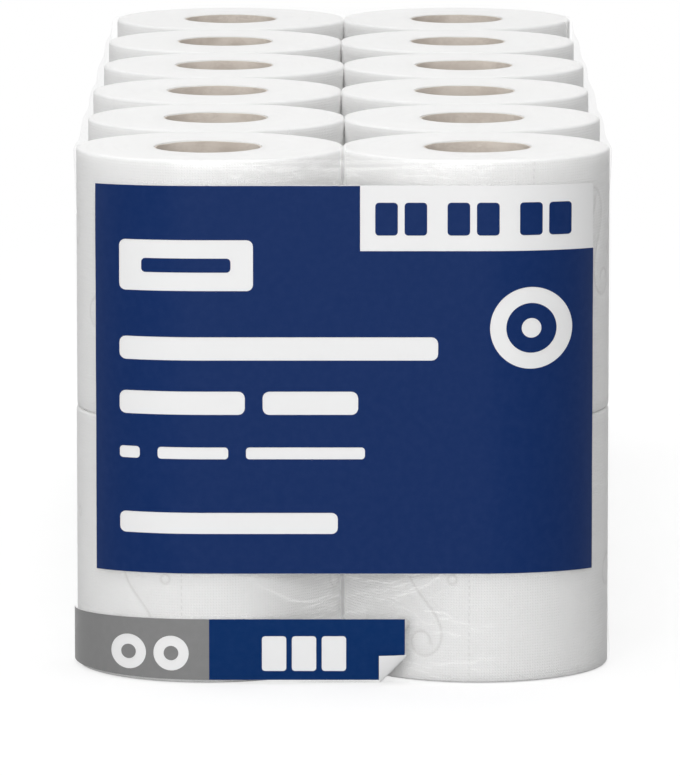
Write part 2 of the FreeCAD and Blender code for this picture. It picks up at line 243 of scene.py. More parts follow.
def fibreGroup():
    # Paper fibres: two noises, one fine and one drawn out, as a height and a tone
    group, entry, leave = newGroup(
        "fibres",
        [
            ("Vector", "NodeSocketVector", None),
            ("Scale", "NodeSocketFloat", 1.0),
            ("Stretch", "NodeSocketVector", (1.0, 1.0, 1.0)),
            ("Depth", "NodeSocketFloat", 0.1),
        ],
        [("Tone", "NodeSocketFloat"), ("Normal", "NodeSocketVector")],
    )
    drawn = addNode(
        group, "ShaderNodeVectorMath", {0: entry.outputs["Vector"], 1: entry.outputs["Stretch"]},
        operation="MULTIPLY",
    )
    fine = addNode(
        group, "ShaderNodeTexNoise",
        {
            "Vector": drawn.outputs[0],
            "Scale": entry.outputs["Scale"],
            "Detail": 5.0,
            "Roughness": 0.62,
        },
    )
    cloud = addNode(
        group, "ShaderNodeTexNoise",
        {
            "Vector": entry.outputs["Vector"],
            "Scale": mathNode(group, "MULTIPLY", entry.outputs["Scale"], 0.12),
            "Detail": 3.0,
        },
    )
    tone = mathNode(
        group, "MULTIPLY_ADD", cloud.outputs["Fac"], 0.6,
        mathNode(group, "MULTIPLY", fine.outputs["Fac"], 0.4),
    )
    bump = addNode(
        group, "ShaderNodeBump",
        {"Height": fine.outputs["Fac"], "Strength": 1.0, "Distance": entry.outputs["Depth"]},
    )
    group.links.new(tone, leave.inputs["Tone"])
    group.links.new(bump.outputs[0], leave.inputs["Normal"])
    return group


fibres = fibreGroup()


def finishMaterial(tree, shader):
    out = tree.nodes.new("ShaderNodeOutputMaterial")
    tree.links.new(shader, out.inputs["Surface"])


# Tissue: the roll's own coordinates come with its mesh, in millimetres: x and y across from
# the roll's axis, z up from its foot
tissueLook = {
    "white": (0.925, 0.925, 0.92, 1),
    "shade": (0.845, 0.84, 0.832, 1),
    # groove: the darker colour of painted shade in the emboss grooves and cuts, also used for the
    # rings on the ends
    "groove": (0.70, 0.69, 0.68, 1),
    "dotPitch": 2.2,
    "dotsAround": 150.0,
    "dotDepth": 0.00022,
    "turn": 0.42,
    "ringSway": 5.0,
    "ringShade": 0.35,
    "ringDepth": 1.6,
    "tearAngle": 1.9,
    "tearHalf": 0.006,
    "tearPitch": 2.6,
}


def tissueMaterial():
    material = bpy.data.materials.new("tissue")
    tree = newTree(material)
    place = addNode(tree, "ShaderNodeAttribute", attribute_name="rollPlace").outputs["Vector"]
    ended = addNode(tree, "ShaderNodeAttribute", attribute_name="endFace").outputs["Fac"]
    groove = addNode(tree, "ShaderNodeAttribute", attribute_name="groove").outputs["Fac"]
    split = addNode(tree, "ShaderNodeSeparateXYZ", {0: place})
    x, y, z = split.outputs
    radius = mathNode(
        tree, "SQRT",
        mathNode(tree, "MULTIPLY_ADD", x, x, mathNode(tree, "MULTIPLY", y, y)),
    )
    around = mathNode(tree, "ARCTAN2", y, x)
    # Side: small embossed dots on a slanted grid, as the product of two waves
    side = mathNode(tree, "MULTIPLY", around, tissueLook["dotsAround"])
    upright = mathNode(tree, "MULTIPLY", z, 2 * pi / tissueLook["dotPitch"])
    dots = mathNode(
        tree, "MULTIPLY",
        mathNode(tree, "SINE", mathNode(tree, "ADD", side, upright)),
        mathNode(tree, "SINE", mathNode(tree, "SUBTRACT", side, upright)),
    )
    dots = ramp(tree, dots, 0.15, 0.8)
    # A line of short cuts up the roll, where the sheets tear apart; they are bumped in and painted
    # darker as shade in the cuts
    near = mathNode(tree, "ABSOLUTE", mathNode(tree, "SUBTRACT", around, tissueLook["tearAngle"]))
    near = ramp(tree, near, tissueLook["tearHalf"] * 0.5, tissueLook["tearHalf"], 1.0, 0.0)
    cuts = mathNode(tree, "SINE", mathNode(tree, "MULTIPLY", z, 2 * pi / tissueLook["tearPitch"]))
    tear = mathNode(tree, "MULTIPLY", near, ramp(tree, cuts, -0.5, 0.0))
    tear = mathNode(tree, "MULTIPLY", tear, mathNode(tree, "SUBTRACT", 1.0, ended))
    # End: the edges of the turns, fine rings that wander a little
    sway = addNode(
        tree, "ShaderNodeTexNoise", {"Vector": place, "Scale": 0.07, "Detail": 2.0}
    ).outputs["Fac"]
    turns = mathNode(
        tree, "MULTIPLY_ADD", radius, 1 / tissueLook["turn"],
        mathNode(tree, "MULTIPLY", sway, tissueLook["ringSway"]),
    )
    along = addNode(
        tree, "ShaderNodeCombineXYZ", {0: turns, 1: mathNode(tree, "MULTIPLY", around, 1.1)}
    ).outputs[0]
    rings = addNode(
        tree, "ShaderNodeTexNoise",
        {"Vector": along, "Scale": 1.0, "Detail": 4.0, "Roughness": 0.7},
    ).outputs["Fac"]
    ringTone = ramp(tree, rings, 0.3, 0.62)
    grain = useGroup(
        tree, fibres,
        {"Vector": place, "Scale": 0.9, "Stretch": (1.0, 1.0, 1.0), "Depth": 0.00006},
    )
    tone = mathNode(tree, "MULTIPLY", grain.outputs["Tone"], 0.5)
    colour = mixColour(tree, tone, tissueLook["white"], tissueLook["shade"])
    ringShade = mathNode(
        tree, "MULTIPLY", mathNode(tree, "SUBTRACT", 1.0, ringTone), tissueLook["ringShade"]
    )
    ringShade = mathNode(tree, "MULTIPLY", ringShade, ended)
    colour = mixColour(tree, ringShade, colour, tissueLook["groove"])
    # Painted shade: the emboss grooves and the cuts are darkened towards the groove colour, as the
    # shade that falls in them
    sunkShade = mathNode(
        tree, "MULTIPLY_ADD", tear, 0.5, mathNode(tree, "MULTIPLY", groove, 0.5), clamp=True
    )
    colour = mixColour(tree, sunkShade, colour, tissueLook["groove"])
    sideHeight = mathNode(tree, "MULTIPLY", dots, mathNode(tree, "SUBTRACT", 1.0, ended))
    sideHeight = mathNode(tree, "SUBTRACT", sideHeight, tear)
    endDepth = mathNode(tree, "MULTIPLY", ended, tissueLook["ringDepth"])
    endHeight = mathNode(tree, "MULTIPLY", rings, endDepth)
    bump = addNode(
        tree, "ShaderNodeBump",
        {
            "Height": mathNode(tree, "ADD", sideHeight, endHeight),
            "Strength": 0.55,
            "Distance": tissueLook["dotDepth"],
            "Normal": grain.outputs["Normal"],
        },
    )
    shader = addNode(
        tree, "ShaderNodeBsdfPrincipled",
        {
            "Base Color": colour,
            "Roughness": 0.95,
            "Subsurface Weight": 0.5,
            "Subsurface Radius": (1.0, 1.0, 1.0),
            "Subsurface Scale": 0.008,
            "Specular IOR Level": 0.15,
            "Sheen Weight": 0.15,
            "Sheen Roughness": 0.6,
            "Normal": bump.outputs[0],
        },
    )
    finishMaterial(tree, shader.outputs[0])
    return material


cardLook = {
    "light": (0.80, 0.735, 0.665, 1),
    "dark": (0.66, 0.59, 0.525, 1),
    "seam": (0.50, 0.43, 0.365, 1),
}


def cardMaterial():
    material = bpy.data.materials.new("core_card")
    tree = newTree(material)
    place = addNode(tree, "ShaderNodeAttribute", attribute_name="rollPlace").outputs["Vector"]
    seam = addNode(tree, "ShaderNodeAttribute", attribute_name="seam").outputs["Fac"]
    grain = useGroup(
        tree, fibres,
        {"Vector": place, "Scale": 0.55, "Stretch": (1.0, 1.0, 2.6), "Depth": 0.00012},
    )
    colour = mixColour(
        tree, ramp(tree, grain.outputs["Tone"], 0.38, 0.62), cardLook["light"], cardLook["dark"]
    )
    colour = mixColour(tree, mathNode(tree, "MULTIPLY", seam, 0.6), colour, cardLook["seam"])
    shader = addNode(
        tree, "ShaderNodeBsdfPrincipled",
        {
            "Base Color": colour,
            "Roughness": 0.85,
            "Specular IOR Level": 0.3,
            "Normal": grain.outputs["Normal"],
        },
    )
    finishMaterial(tree, shader.outputs[0])
    return material


def printMaterial(name, colour, mottle, roughness):
    # Label paper or a layer of ink on it: an even colour that is a little mottled, with the
    # paper's grain under it
    material = bpy.data.materials.new(name)
    tree = newTree(material)
    place = addNode(tree, "ShaderNodeTexCoord").outputs["Object"]
    grain = useGroup(
        tree, fibres,
        {"Vector": place, "Scale": 2600.0, "Stretch": (1.0, 1.0, 1.0), "Depth": 0.00003},
    )
    paler = tuple(min(1.0, c * mottle + 0.004) for c in colour[:3]) + (1,)
    shade = mixColour(tree, ramp(tree, grain.outputs["Tone"], 0.35, 0.7), colour, paler)
    rough = ramp(tree, grain.outputs["Tone"], 0.3, 0.7, roughness - 0.05, roughness + 0.06)
    shader = addNode(
        tree, "ShaderNodeBsdfPrincipled",
        {
            "Base Color": shade,
            "Roughness": rough,
            "Specular IOR Level": 0.05,
            "Normal": grain.outputs["Normal"],
        },
    )
    finishMaterial(tree, shader.outputs[0])
    return material


# Film: clear, with a thin mirror that grows towards grazing angles, a little haze, and
# milky lines and bands where it is folded or welded. On the front the folds' milk is also a
# painted highlight, and painted light lifts the shaded valley between the two front rolls.
# Lengths of the patterns in metres
filmLook = {
    "haze": 0.004,
    "layerHaze": 0.02,
    "lineHaze": 0.25,
    "line": 0.0006,
    "mirror": 1.42,
    "mirrorMost": 0.03,
    "gloss": 0.2,
    "milk": (0.9, 0.9, 0.9, 1),
    "milkGloss": 0.5,
    "milkShine": 0.15,
    "creaseScale": (30.0, 14.0, 55.0),
    "creaseSharp": 0.05,
    "creaseRidge": 0.25,
    "creaseDepth": 0.0009,
    "bandHazeAndHighlight": 0.06,
    "bandHigh": 0.0024,
    "bandLeft": -0.064,
    "bandRight": 0.086,
    "bandFade": 0.016,
    "stripHazeAndHighlight": 0.34,
    "stripHalf": 0.0009,
    "slackLight": 0.2,
    "slackHalf": 0.024,
    "ribPitch": 0.0012,
    "ribDepth": 0.0001,
    "weldHaze": 0.2,
}


# Where the film's flaps and folds lie and fade, and the painted light on the front, in
# millimetres from the pack's faces or its foot. Full and Gone are where a mark is whole and
# where it has faded, as shares of its size
foldPlace = {
    "sideDepth": 3.0,
    "flapOver": 2.0,
    "bandDown": 0.6,
    "bandNear": 5.0,
    "bandFar": 9.0,
    "bandFull": 0.75,
    "bandGone": 1.15,
    "stripFull": 0.7,
    "stripGone": 1.2,
    "frontNear": 4.0,
    "frontFar": 1.0,
    "pressedLow": 2.0,
    "pressedHigh": 6.0,
    "faintLow": 40.0,
    "faintHigh": 190.0,
    "faintShare": 0.3,
    "slackFull": 0.2,
    "slackFadeLow": 150.0,
    "slackFadeHigh": 193.0,
}


def seamGroup():
    # Where the film's end flaps lie on the long sides, from the place on the pack: Line is
    # 1 on the edge of a flap and Layer is 1 inside it. On a long side the flap's edge runs
    # at 45 degrees from the pack's corner to the seal
    group, entry, leave = newGroup(
        "film_layers",
        [("Vector", "NodeSocketVector", None), ("Line", "NodeSocketFloat", 0.0006)],
        [("Line", "NodeSocketFloat"), ("Layer", "NodeSocketFloat")],
    )
    split = addNode(group, "ShaderNodeSeparateXYZ", {0: entry.outputs["Vector"]})
    x, y, z = split.outputs
    line = entry.outputs["Line"]
    farOut = mathNode(group, "ABSOLUTE", x)
    along = mathNode(group, "ABSOLUTE", y)
    rise = mathNode(group, "ABSOLUTE", mathNode(group, "SUBTRACT", z, packTop / 2 * mm))
    onSide = mathNode(group, "GREATER_THAN", farOut, (wallX - foldPlace["sideDepth"]) * mm)
    start = flatY - packTop / 2 + foldPlace["flapOver"]
    reach = mathNode(group, "ADD", rise, start * mm)
    edge = mathNode(group, "SUBTRACT", along, reach)
    flap = mathNode(group, "MULTIPLY", mathNode(group, "LESS_THAN", edge, 0.0), onSide)
    off = mathNode(group, "DIVIDE", mathNode(group, "ABSOLUTE", edge), line)
    near = mathNode(group, "SUBTRACT", 1.0, off, clamp=True)
    flapLine = mathNode(group, "MULTIPLY", near, onSide)
    group.links.new(flapLine, leave.inputs["Line"])
    group.links.new(flap, leave.inputs["Layer"])
    return group


filmLayers = seamGroup()


def foldAndLightGroup():
    # Milkiness and painted light on the front of the film, as shares: Band is its folded
    # edge across the top and Strip the fold from there down the middle, milky folds that also
    # paint a highlight; Slack is painted light that lifts the shade in the valley where the film
    # hangs free between the two rolls
    group, entry, leave = newGroup(
        "film_folds_and_light",
        [
            ("Vector", "NodeSocketVector", None),
            ("Band Height", "NodeSocketFloat", 0.0024),
            ("Band Left", "NodeSocketFloat", -0.06),
            ("Band Right", "NodeSocketFloat", 0.08),
            ("Band Fade", "NodeSocketFloat", 0.016),
            ("Strip Half", "NodeSocketFloat", 0.001),
            ("Slack Half", "NodeSocketFloat", 0.02),
        ],
        [
            ("Band", "NodeSocketFloat"),
            ("Strip", "NodeSocketFloat"),
            ("Slack", "NodeSocketFloat"),
        ],
    )
    f = foldPlace
    split = addNode(group, "ShaderNodeSeparateXYZ", {0: entry.outputs["Vector"]})
    x, y, z = split.outputs
    front = ramp(group, y, (f["bandNear"] - wallY) * mm, (f["bandFar"] - wallY) * mm, 1.0, 0.0)
    drop = mathNode(group, "SUBTRACT", (packTop - f["bandDown"]) * mm, z)
    level = mathNode(group, "DIVIDE", drop, entry.outputs["Band Height"])
    low = ramp(group, level, f["bandFull"], f["bandGone"], 1.0, 0.0)
    fade = entry.outputs["Band Fade"]
    left = ramp(group, mathNode(group, "SUBTRACT", x, entry.outputs["Band Left"]), 0.0, fade)
    right = ramp(group, mathNode(group, "SUBTRACT", entry.outputs["Band Right"], x), 0.0, fade)
    band = mathNode(group, "MULTIPLY", mathNode(group, "MULTIPLY", left, right), low)
    band = mathNode(group, "MULTIPLY", band, front)
    aside = mathNode(group, "ABSOLUTE", x)
    near = mathNode(group, "DIVIDE", aside, entry.outputs["Strip Half"])
    strip = ramp(group, near, f["stripFull"], f["stripGone"], 1.0, 0.0)
    nearest, farthest = -(flatY + f["frontNear"]), -(flatY - f["frontFar"])
    ahead = ramp(group, y, nearest * mm, farthest * mm, 1.0, 0.0)
    strip = mathNode(group, "MULTIPLY", strip, ahead)
    # The fold is pressed flat towards the foot
    pressed = ramp(group, z, f["pressedLow"] * mm, f["pressedHigh"] * mm)
    strip = mathNode(group, "MULTIPLY", strip, pressed)
    faint = ramp(group, z, f["faintLow"] * mm, f["faintHigh"] * mm, f["faintShare"], 1.0)
    strip = mathNode(group, "MULTIPLY", strip, faint)
    near = mathNode(group, "DIVIDE", aside, entry.outputs["Slack Half"])
    slack = mathNode(group, "MULTIPLY", ramp(group, near, f["slackFull"], 1.0, 1.0, 0.0), ahead)
    # The painted light fades out towards the top
    slackFade = ramp(group, z, f["slackFadeLow"] * mm, f["slackFadeHigh"] * mm, 1.0, 0.0)
    slack = mathNode(group, "MULTIPLY", slack, slackFade)
    group.links.new(band, leave.inputs["Band"])
    group.links.new(strip, leave.inputs["Strip"])
    group.links.new(slack, leave.inputs["Slack"])
    return group


filmFoldsAndLight = foldAndLightGroup()


def filmMaterial(name, weld):
    # weld is the milkiness of a strip where the film is sealed to itself, with crimp ribs
    material = bpy.data.materials.new(name)
    tree = newTree(material)
    place = addNode(tree, "ShaderNodeTexCoord").outputs["Object"]
    seams = useGroup(tree, filmLayers, {"Vector": place, "Line": filmLook["line"]})
    drawn = addNode(
        tree, "ShaderNodeMapping", {"Vector": place, "Scale": filmLook["creaseScale"]}
    )
    creases = addNode(
        tree, "ShaderNodeTexNoise",
        {"Vector": drawn.outputs[0], "Scale": 1.0, "Detail": 3.0, "Distortion": 0.8},
    ).outputs["Fac"]
    off = mathNode(tree, "ABSOLUTE", mathNode(tree, "SUBTRACT", creases, 0.5))
    crease = ramp(tree, off, 0.0, filmLook["creaseSharp"], 1.0, 0.0)
    bump = addNode(
        tree, "ShaderNodeBump",
        {
            "Height": mathNode(tree, "MULTIPLY_ADD", crease, filmLook["creaseRidge"], creases),
            "Strength": 0.5,
            "Distance": filmLook["creaseDepth"],
        },
    )
    if weld > 0:
        upward = addNode(tree, "ShaderNodeSeparateXYZ", {0: place}).outputs[2]
        turns = mathNode(tree, "MULTIPLY", upward, 2 * pi / filmLook["ribPitch"])
        bump = addNode(
            tree, "ShaderNodeBump",
            {
                "Height": mathNode(tree, "SINE", turns),
                "Strength": 0.8,
                "Distance": filmLook["ribDepth"],
                "Normal": bump.outputs[0],
            },
        )
    mirror = addNode(
        tree, "ShaderNodeFresnel", {"IOR": filmLook["mirror"], "Normal": bump.outputs[0]}
    )
    mirror = mathNode(tree, "MINIMUM", mirror.outputs[0], filmLook["mirrorMost"])
    foldsAndLight = useGroup(
        tree, filmFoldsAndLight,
        {
            "Vector": place,
            "Band Height": filmLook["bandHigh"],
            "Band Left": filmLook["bandLeft"],
            "Band Right": filmLook["bandRight"],
            "Band Fade": filmLook["bandFade"],
            "Strip Half": filmLook["stripHalf"],
            "Slack Half": filmLook["slackHalf"],
        },
    )
    plain = filmLook["haze"] + weld
    haze = mathNode(tree, "MULTIPLY_ADD", seams.outputs["Layer"], filmLook["layerHaze"], plain)
    haze = mathNode(tree, "MULTIPLY_ADD", seams.outputs["Line"], filmLook["lineHaze"], haze)
    # Band here and strip below add milk that also paints a highlight along the front's folds
    haze = mathNode(tree, "MULTIPLY_ADD", foldsAndLight.outputs["Band"], filmLook["bandHazeAndHighlight"], haze)
    # Painted light: milk that lifts the shade in the valley between the two front rolls
    haze = mathNode(tree, "MULTIPLY_ADD", foldsAndLight.outputs["Slack"], filmLook["slackLight"], haze)
    haze = mathNode(
        tree, "MULTIPLY_ADD", foldsAndLight.outputs["Strip"], filmLook["stripHazeAndHighlight"], haze, clamp=True
    )
    clear = addNode(tree, "ShaderNodeBsdfTransparent", {"Color": (1, 1, 1, 1)})
    gloss = addNode(
        tree, "ShaderNodeBsdfAnisotropic",
        {"Color": (1, 1, 1, 1), "Roughness": filmLook["gloss"], "Normal": bump.outputs[0]},
    )
    milk = addNode(
        tree, "ShaderNodeBsdfPrincipled",
        {
            "Base Color": filmLook["milk"],
            "Roughness": filmLook["milkGloss"],
            "Specular IOR Level": filmLook["milkShine"],
            "Normal": bump.outputs[0],
        },
    )
    # The film is so thin that it throws no shadow of its own
    shadow = addNode(tree, "ShaderNodeLightPath").outputs["Is Shadow Ray"]
    lit = mathNode(tree, "SUBTRACT", 1.0, shadow)
    mirror = mathNode(tree, "MULTIPLY", mirror, lit)
    haze = mathNode(tree, "MULTIPLY", haze, lit)
    shiny = addNode(
        tree, "ShaderNodeMixShader", {0: mirror, 1: clear.outputs[0], 2: gloss.outputs[0]}
    )
    film = addNode(
        tree, "ShaderNodeMixShader", {0: haze, 1: shiny.outputs[0], 2: milk.outputs[0]}
    )
    finishMaterial(tree, film.outputs[0])
    return material


tissue = tissueMaterial()
coreCard = cardMaterial()
labelWhite = printMaterial("label_white", (0.95, 0.95, 0.95, 1), 0.99, 0.42)
navyInk = printMaterial("navy_print", (0.0065, 0.0275, 0.124, 1), 1.05, 0.36)
blueInk = printMaterial("blue_print", (0.0004, 0.027, 0.128, 1), 1.05, 0.36)
greyInk = printMaterial("grey_print", (0.25, 0.25, 0.25, 1), 1.04, 0.36)
clearFilm = filmMaterial("clear_film", 0.0)
sealFilm = filmMaterial("film_weld", filmLook["weldHaze"])
print("materials made")


def fillTriangles(points, links):
    # The flat triangle mesh over points in a plane that keeps each linked pair as an edge,
    # all its faces turned the same way
    result = delaunay_2d_cdt(points.tolist(), links.tolist(), [], 0, 1e-4)
    flat = np.array([tuple(point) for point in result[0]])
    faces = np.array(result[2])
    a, b, c = (flat[faces[:, i]] for i in range(3))
    turned = np.cross(b - a, c - a) < 0
    faces[turned] = faces[turned][:, ::-1]
    return flat, faces


# Rolls
rollShape = {
    "around": 96,
    "up": 30,
    "rim": 1.2,
    "rimSteps": 3,
    "endRings": 9,
    "sheetEdge": 0.4,
    "oval": 0.12,
    "lean": 0.8,
    "flatTurn": 0.15,
    "flatFade": 0.8,
    "apart": 0.03,
    "endDip": 0.25,
    "fadeIn": 6.0,
    "lip": 3.0,
    "tailTurn": {"roll_top_row1_left": math.radians(-99.5)},
    "scrollLength": 96.0,
    "scrollCurl": 2.15,
    "scrollStep": 1.6,
    "scrollLow": 0.3,
    "scrollHigh": 0.68,
    "gridClear": 1.1,
    "scrollAngles": (58, -48, 66, -60, 50, -68),
    "ringAside": 14.0,
    "ringRadius": 2.6,
    "grooveWidth": 1.9,
    "grooveDepth": 0.3,
}


def scrollLine(centre, angle, flip):
    # A line whose heading is a constant times the square of the length from its middle,
    # curling up at both ends into an S: each point is the sum of the steps before it
    count = int(rollShape["scrollLength"] / rollShape["scrollStep"])
    s = np.linspace(-1, 1, count)
    heading = pi * rollShape["scrollCurl"] * s * s * flip + angle
    step = rollShape["scrollLength"] / (count - 1)
    path = np.cumsum(np.stack([np.cos(heading), np.sin(heading)], 1) * step, 0)
    return path - path[count // 2] + centre


def circleLine(centre, radius, count=14):
    # Centre plus the radius times the cosine and sine, closed on its first point
    t = np.linspace(0, 2 * pi, count + 1)
    return np.stack([np.cos(t), np.sin(t)], 1) * radius + centre


def embossLines(wide, high):
    # Scrolls round the roll, high and low by turns, each with two small rings beside it
    lines = []
    count = len(rollShape["scrollAngles"])
    for i, degrees in enumerate(rollShape["scrollAngles"]):
        angle = math.radians(degrees)
        level = rollShape["scrollLow"] if i % 2 else rollShape["scrollHigh"]
        centre = np.array([(i + 0.5) / count * wide, high * level])
        flip = -1 if i % 3 == 1 else 1
        lines.append(scrollLine(centre, angle, flip))
        aside = np.array([-math.sin(angle), math.cos(angle)]) * rollShape["ringAside"] * flip
        lines.append(circleLine(centre + aside, rollShape["ringRadius"]))
        lines.append(circleLine(centre - aside, rollShape["ringRadius"] * 0.7, 10))
    return lines


def embossedSheet():
    # The roll's side laid out flat: a triangle mesh over (way round, height) that has lines
    # of points along the middle and both edges of each embossed line
    wide = 2 * pi * rollRadius
    high = rollHeight - 2 * rollShape["rim"]
    half = rollShape["grooveWidth"] / 2
    lines = embossLines(wide, high)
    strokes = []
    links = []
    count = 0
    for line in lines:
        closed = np.allclose(line[0], line[-1])
        way = np.gradient(line, axis=0)
        if closed:
            way[0] = way[-1] = line[1] - line[-2]
        way /= np.linalg.norm(way, axis=1)[:, None]
        across = np.stack([-way[:, 1], way[:, 0]], 1)
        for shift in (-half, 0.0, half):
            points = (line + across * shift)[: -1 if closed else None]
            number = np.arange(len(points)) + count
            links.append(np.stack([number[:-1], number[1:]], 1))
            if closed:
                links.append(np.array([[number[-1], number[0]]]))
            strokes.append(points)
            count += len(points)
    strokes = np.concatenate(strokes)
    middle = np.concatenate(lines)
    u = np.linspace(0, wide, rollShape["around"] + 1)
    v = np.linspace(0, high, rollShape["up"] + 1)
    grid = np.stack(np.meshgrid(u, v), 2)
    grid[1:-1:2, 1:-1, 0] += (u[1] - u[0]) / 2
    grid = grid.reshape(-1, 2)
    far = np.min(np.linalg.norm(grid[:, None] - strokes[None], axis=2), axis=1)
    far = far > rollShape["gridClear"]
    edge = np.any((grid < 1e-6) | (grid > [wide - 1e-6, high - 1e-6]), axis=1)
    points = np.concatenate([strokes, grid[far | edge]])
    flat, faces = fillTriangles(points, np.concatenate(links))
    distance = np.min(np.linalg.norm(flat[:, None] - middle[None], axis=2), axis=1)
    depth = 1 - smoothStep(0.0, half * 0.96, distance)
    return flat, faces, depth, wide, high


patternStep = 130.0  # lifts each roll's grain past the one before, so that no two are alike
flatSide, flatFaces, flatDepth, sheetWide, sheetHigh = embossedSheet()
print("embossing laid out:", len(flatFaces), "triangles a roll")


def rollPiece(name, seed):
    # Side: a cylinder whose radius falls by one sheet over a full turn, less the emboss.
    # Ends: rings from the rim's quarter round in to the bore. The two rolls of a row touch
    # and press each other flat there: the front ones are pulled out of round, and those
    # behind lean together, by turns more to one side. Returns how far the roll has moved
    low, high = nodeBox(name)
    axis = (low + high) / 2
    random = np.random.RandomState(seed)
    turn = rollShape["tailTurn"].get(name, random.uniform(0, 2 * pi))
    longAngle = random.uniform(0, pi)
    sink = random.uniform(0.05, rollShape["endDip"])
    rim = rollShape["rim"]
    bore = coreRadius + 0.1

    def shortBy(angle):
        # How far the side falls short of the roll's radius: a share of the last sheet and
        # of the oval
        spiral = rollShape["sheetEdge"] * angle / (2 * pi)
        return spiral + rollShape["oval"] * (1 - np.cos(2 * (angle - longAngle))) / 2

    side = 1 if name.endswith("left") else -1
    row = int(name.split("_row")[1][0])
    facing = ((0.0 if side > 0 else pi) - turn) % (2 * pi)
    share = 1 + rollShape["lean"] * side * (-1) ** row
    shift = 0.0 if row == 1 else side * (halfGap * share + shortBy(facing))
    plane = halfGap if row == 1 else -shortBy(facing)
    plane += rollRadius - rollShape["apart"]
    axis[0] += shift

    def outward(s, inset, fade):
        # Distance from the axis at way round s: the radius less the inset and what the side
        # is short by. By the neighbour it is the plane's distance over the cosine of the
        # turn from there, and eases back from that to the round
        angle = 2 * pi * s / sheetWide
        off = np.abs((angle - facing + pi) % (2 * pi) - pi)
        flat = plane / np.cos(np.minimum(off, rollShape["flatTurn"]))
        near = 1 - smoothStep(rollShape["flatTurn"], rollShape["flatFade"], off)
        pressed = (flat - rollRadius + shortBy(angle)) * near
        return rollRadius - inset + (pressed - shortBy(angle)) * fade

    s = flatSide[:, 0]
    radius = outward(s, flatDepth * rollShape["grooveDepth"], 1.0)
    around = [s]
    radii = [radius]
    heights = [flatSide[:, 1] + rim]
    ended = [np.zeros(len(s))]
    faces = [flatFaces]
    total = len(s)
    count = rollShape["around"] + 1
    ringS = np.linspace(0, sheetWide, count)
    # The seam: the side's two ends, joined by the step of the last sheet's edge
    start = np.where(s < 1e-3)[0]
    stop = np.where(s > sheetWide - 1e-3)[0]
    start = start[np.argsort(flatSide[start, 1])]
    stop = stop[np.argsort(flatSide[stop, 1])]
    faces.append(np.stack([stop[:-1], start[:-1], start[1:], stop[1:]], 1))
    for top in (False, True):
        level = sheetHigh if top else 0.0
        edge = np.where(np.abs(flatSide[:, 1] - level) < 1e-3)[0]
        edge = edge[np.argsort(s[edge])]
        profile = []
        for k in range(1, rollShape["rimSteps"] + 1):
            share = k / rollShape["rimSteps"]
            t = share * pi / 2
            profile.append((rim * (1 - math.cos(t)), rim * (1 - math.sin(t)), 0.35 + 0.65 * share))
        span = rollRadius - rim - bore
        for k in range(1, rollShape["endRings"] + 1):
            profile.append((rim + span * k / rollShape["endRings"], 0.0, 1.0))
        profile.append((rim + span, rollShape["lip"], 1.0))
        joining = smoothStep(0.94, 1.0, ringS / sheetWide)
        rings = []
        for inset, down, share in profile:
            fade = max(0.0, 1 - inset / rollShape["fadeIn"])
            wave = softNoise(seed + 5 * top, ringS / sheetWide * 3, np.full(count, inset / 16))
            wave = wave * (1 - joining) + wave[0] * joining
            dip = sink * (0.55 + 0.45 * wave) * smoothStep(rim * 0.6, rollShape["fadeIn"], inset)
            away = down + dip
            around.append(ringS)
            radii.append(outward(ringS, inset, fade))
            heights.append(rollHeight - away if top else away)
            ended.append(np.full(count, share))
            rings.append(total + np.arange(count))
            total += count
        previous = edge
        for ring in rings:
            quads = np.stack([previous[:-1], previous[1:], ring[1:], ring[:-1]], 1)
            joint = np.array([[previous[-1], previous[0], ring[0], ring[-1]]])
            quads = np.concatenate([quads, joint])
            faces.append(quads if top else quads[:, ::-1])
            previous = ring
    s, radius, height, ended = (np.concatenate(part) for part in (around, radii, heights, ended))
    angle = 2 * pi * s / sheetWide + turn
    own = np.stack([radius * np.cos(angle), radius * np.sin(angle), height], 1)
    points = own + [axis[0], axis[1], low[2]]
    groove = np.concatenate([flatDepth, np.zeros(len(s) - len(flatDepth))])
    plain = 2 * pi * s / sheetWide
    lift = patternStep * seed
    own = np.stack([radius * np.cos(plain), radius * np.sin(plain), height + lift], 1)
    addPiece(
        name.replace("roll", "tissue"), points, faces, [tissue], [name],
        {"rollPlace": own, "endFace": ended, "groove": groove}, sharp=60,
    )
    return shift


# Card tubes
coreShape = {
    "around": 72,
    "up": 22,
    "wall": 0.6,
    "strip": 62.0,
    "seamWidth": 1.5,
    "seamHeight": 0.16,
    "ragged": 0.22,
}


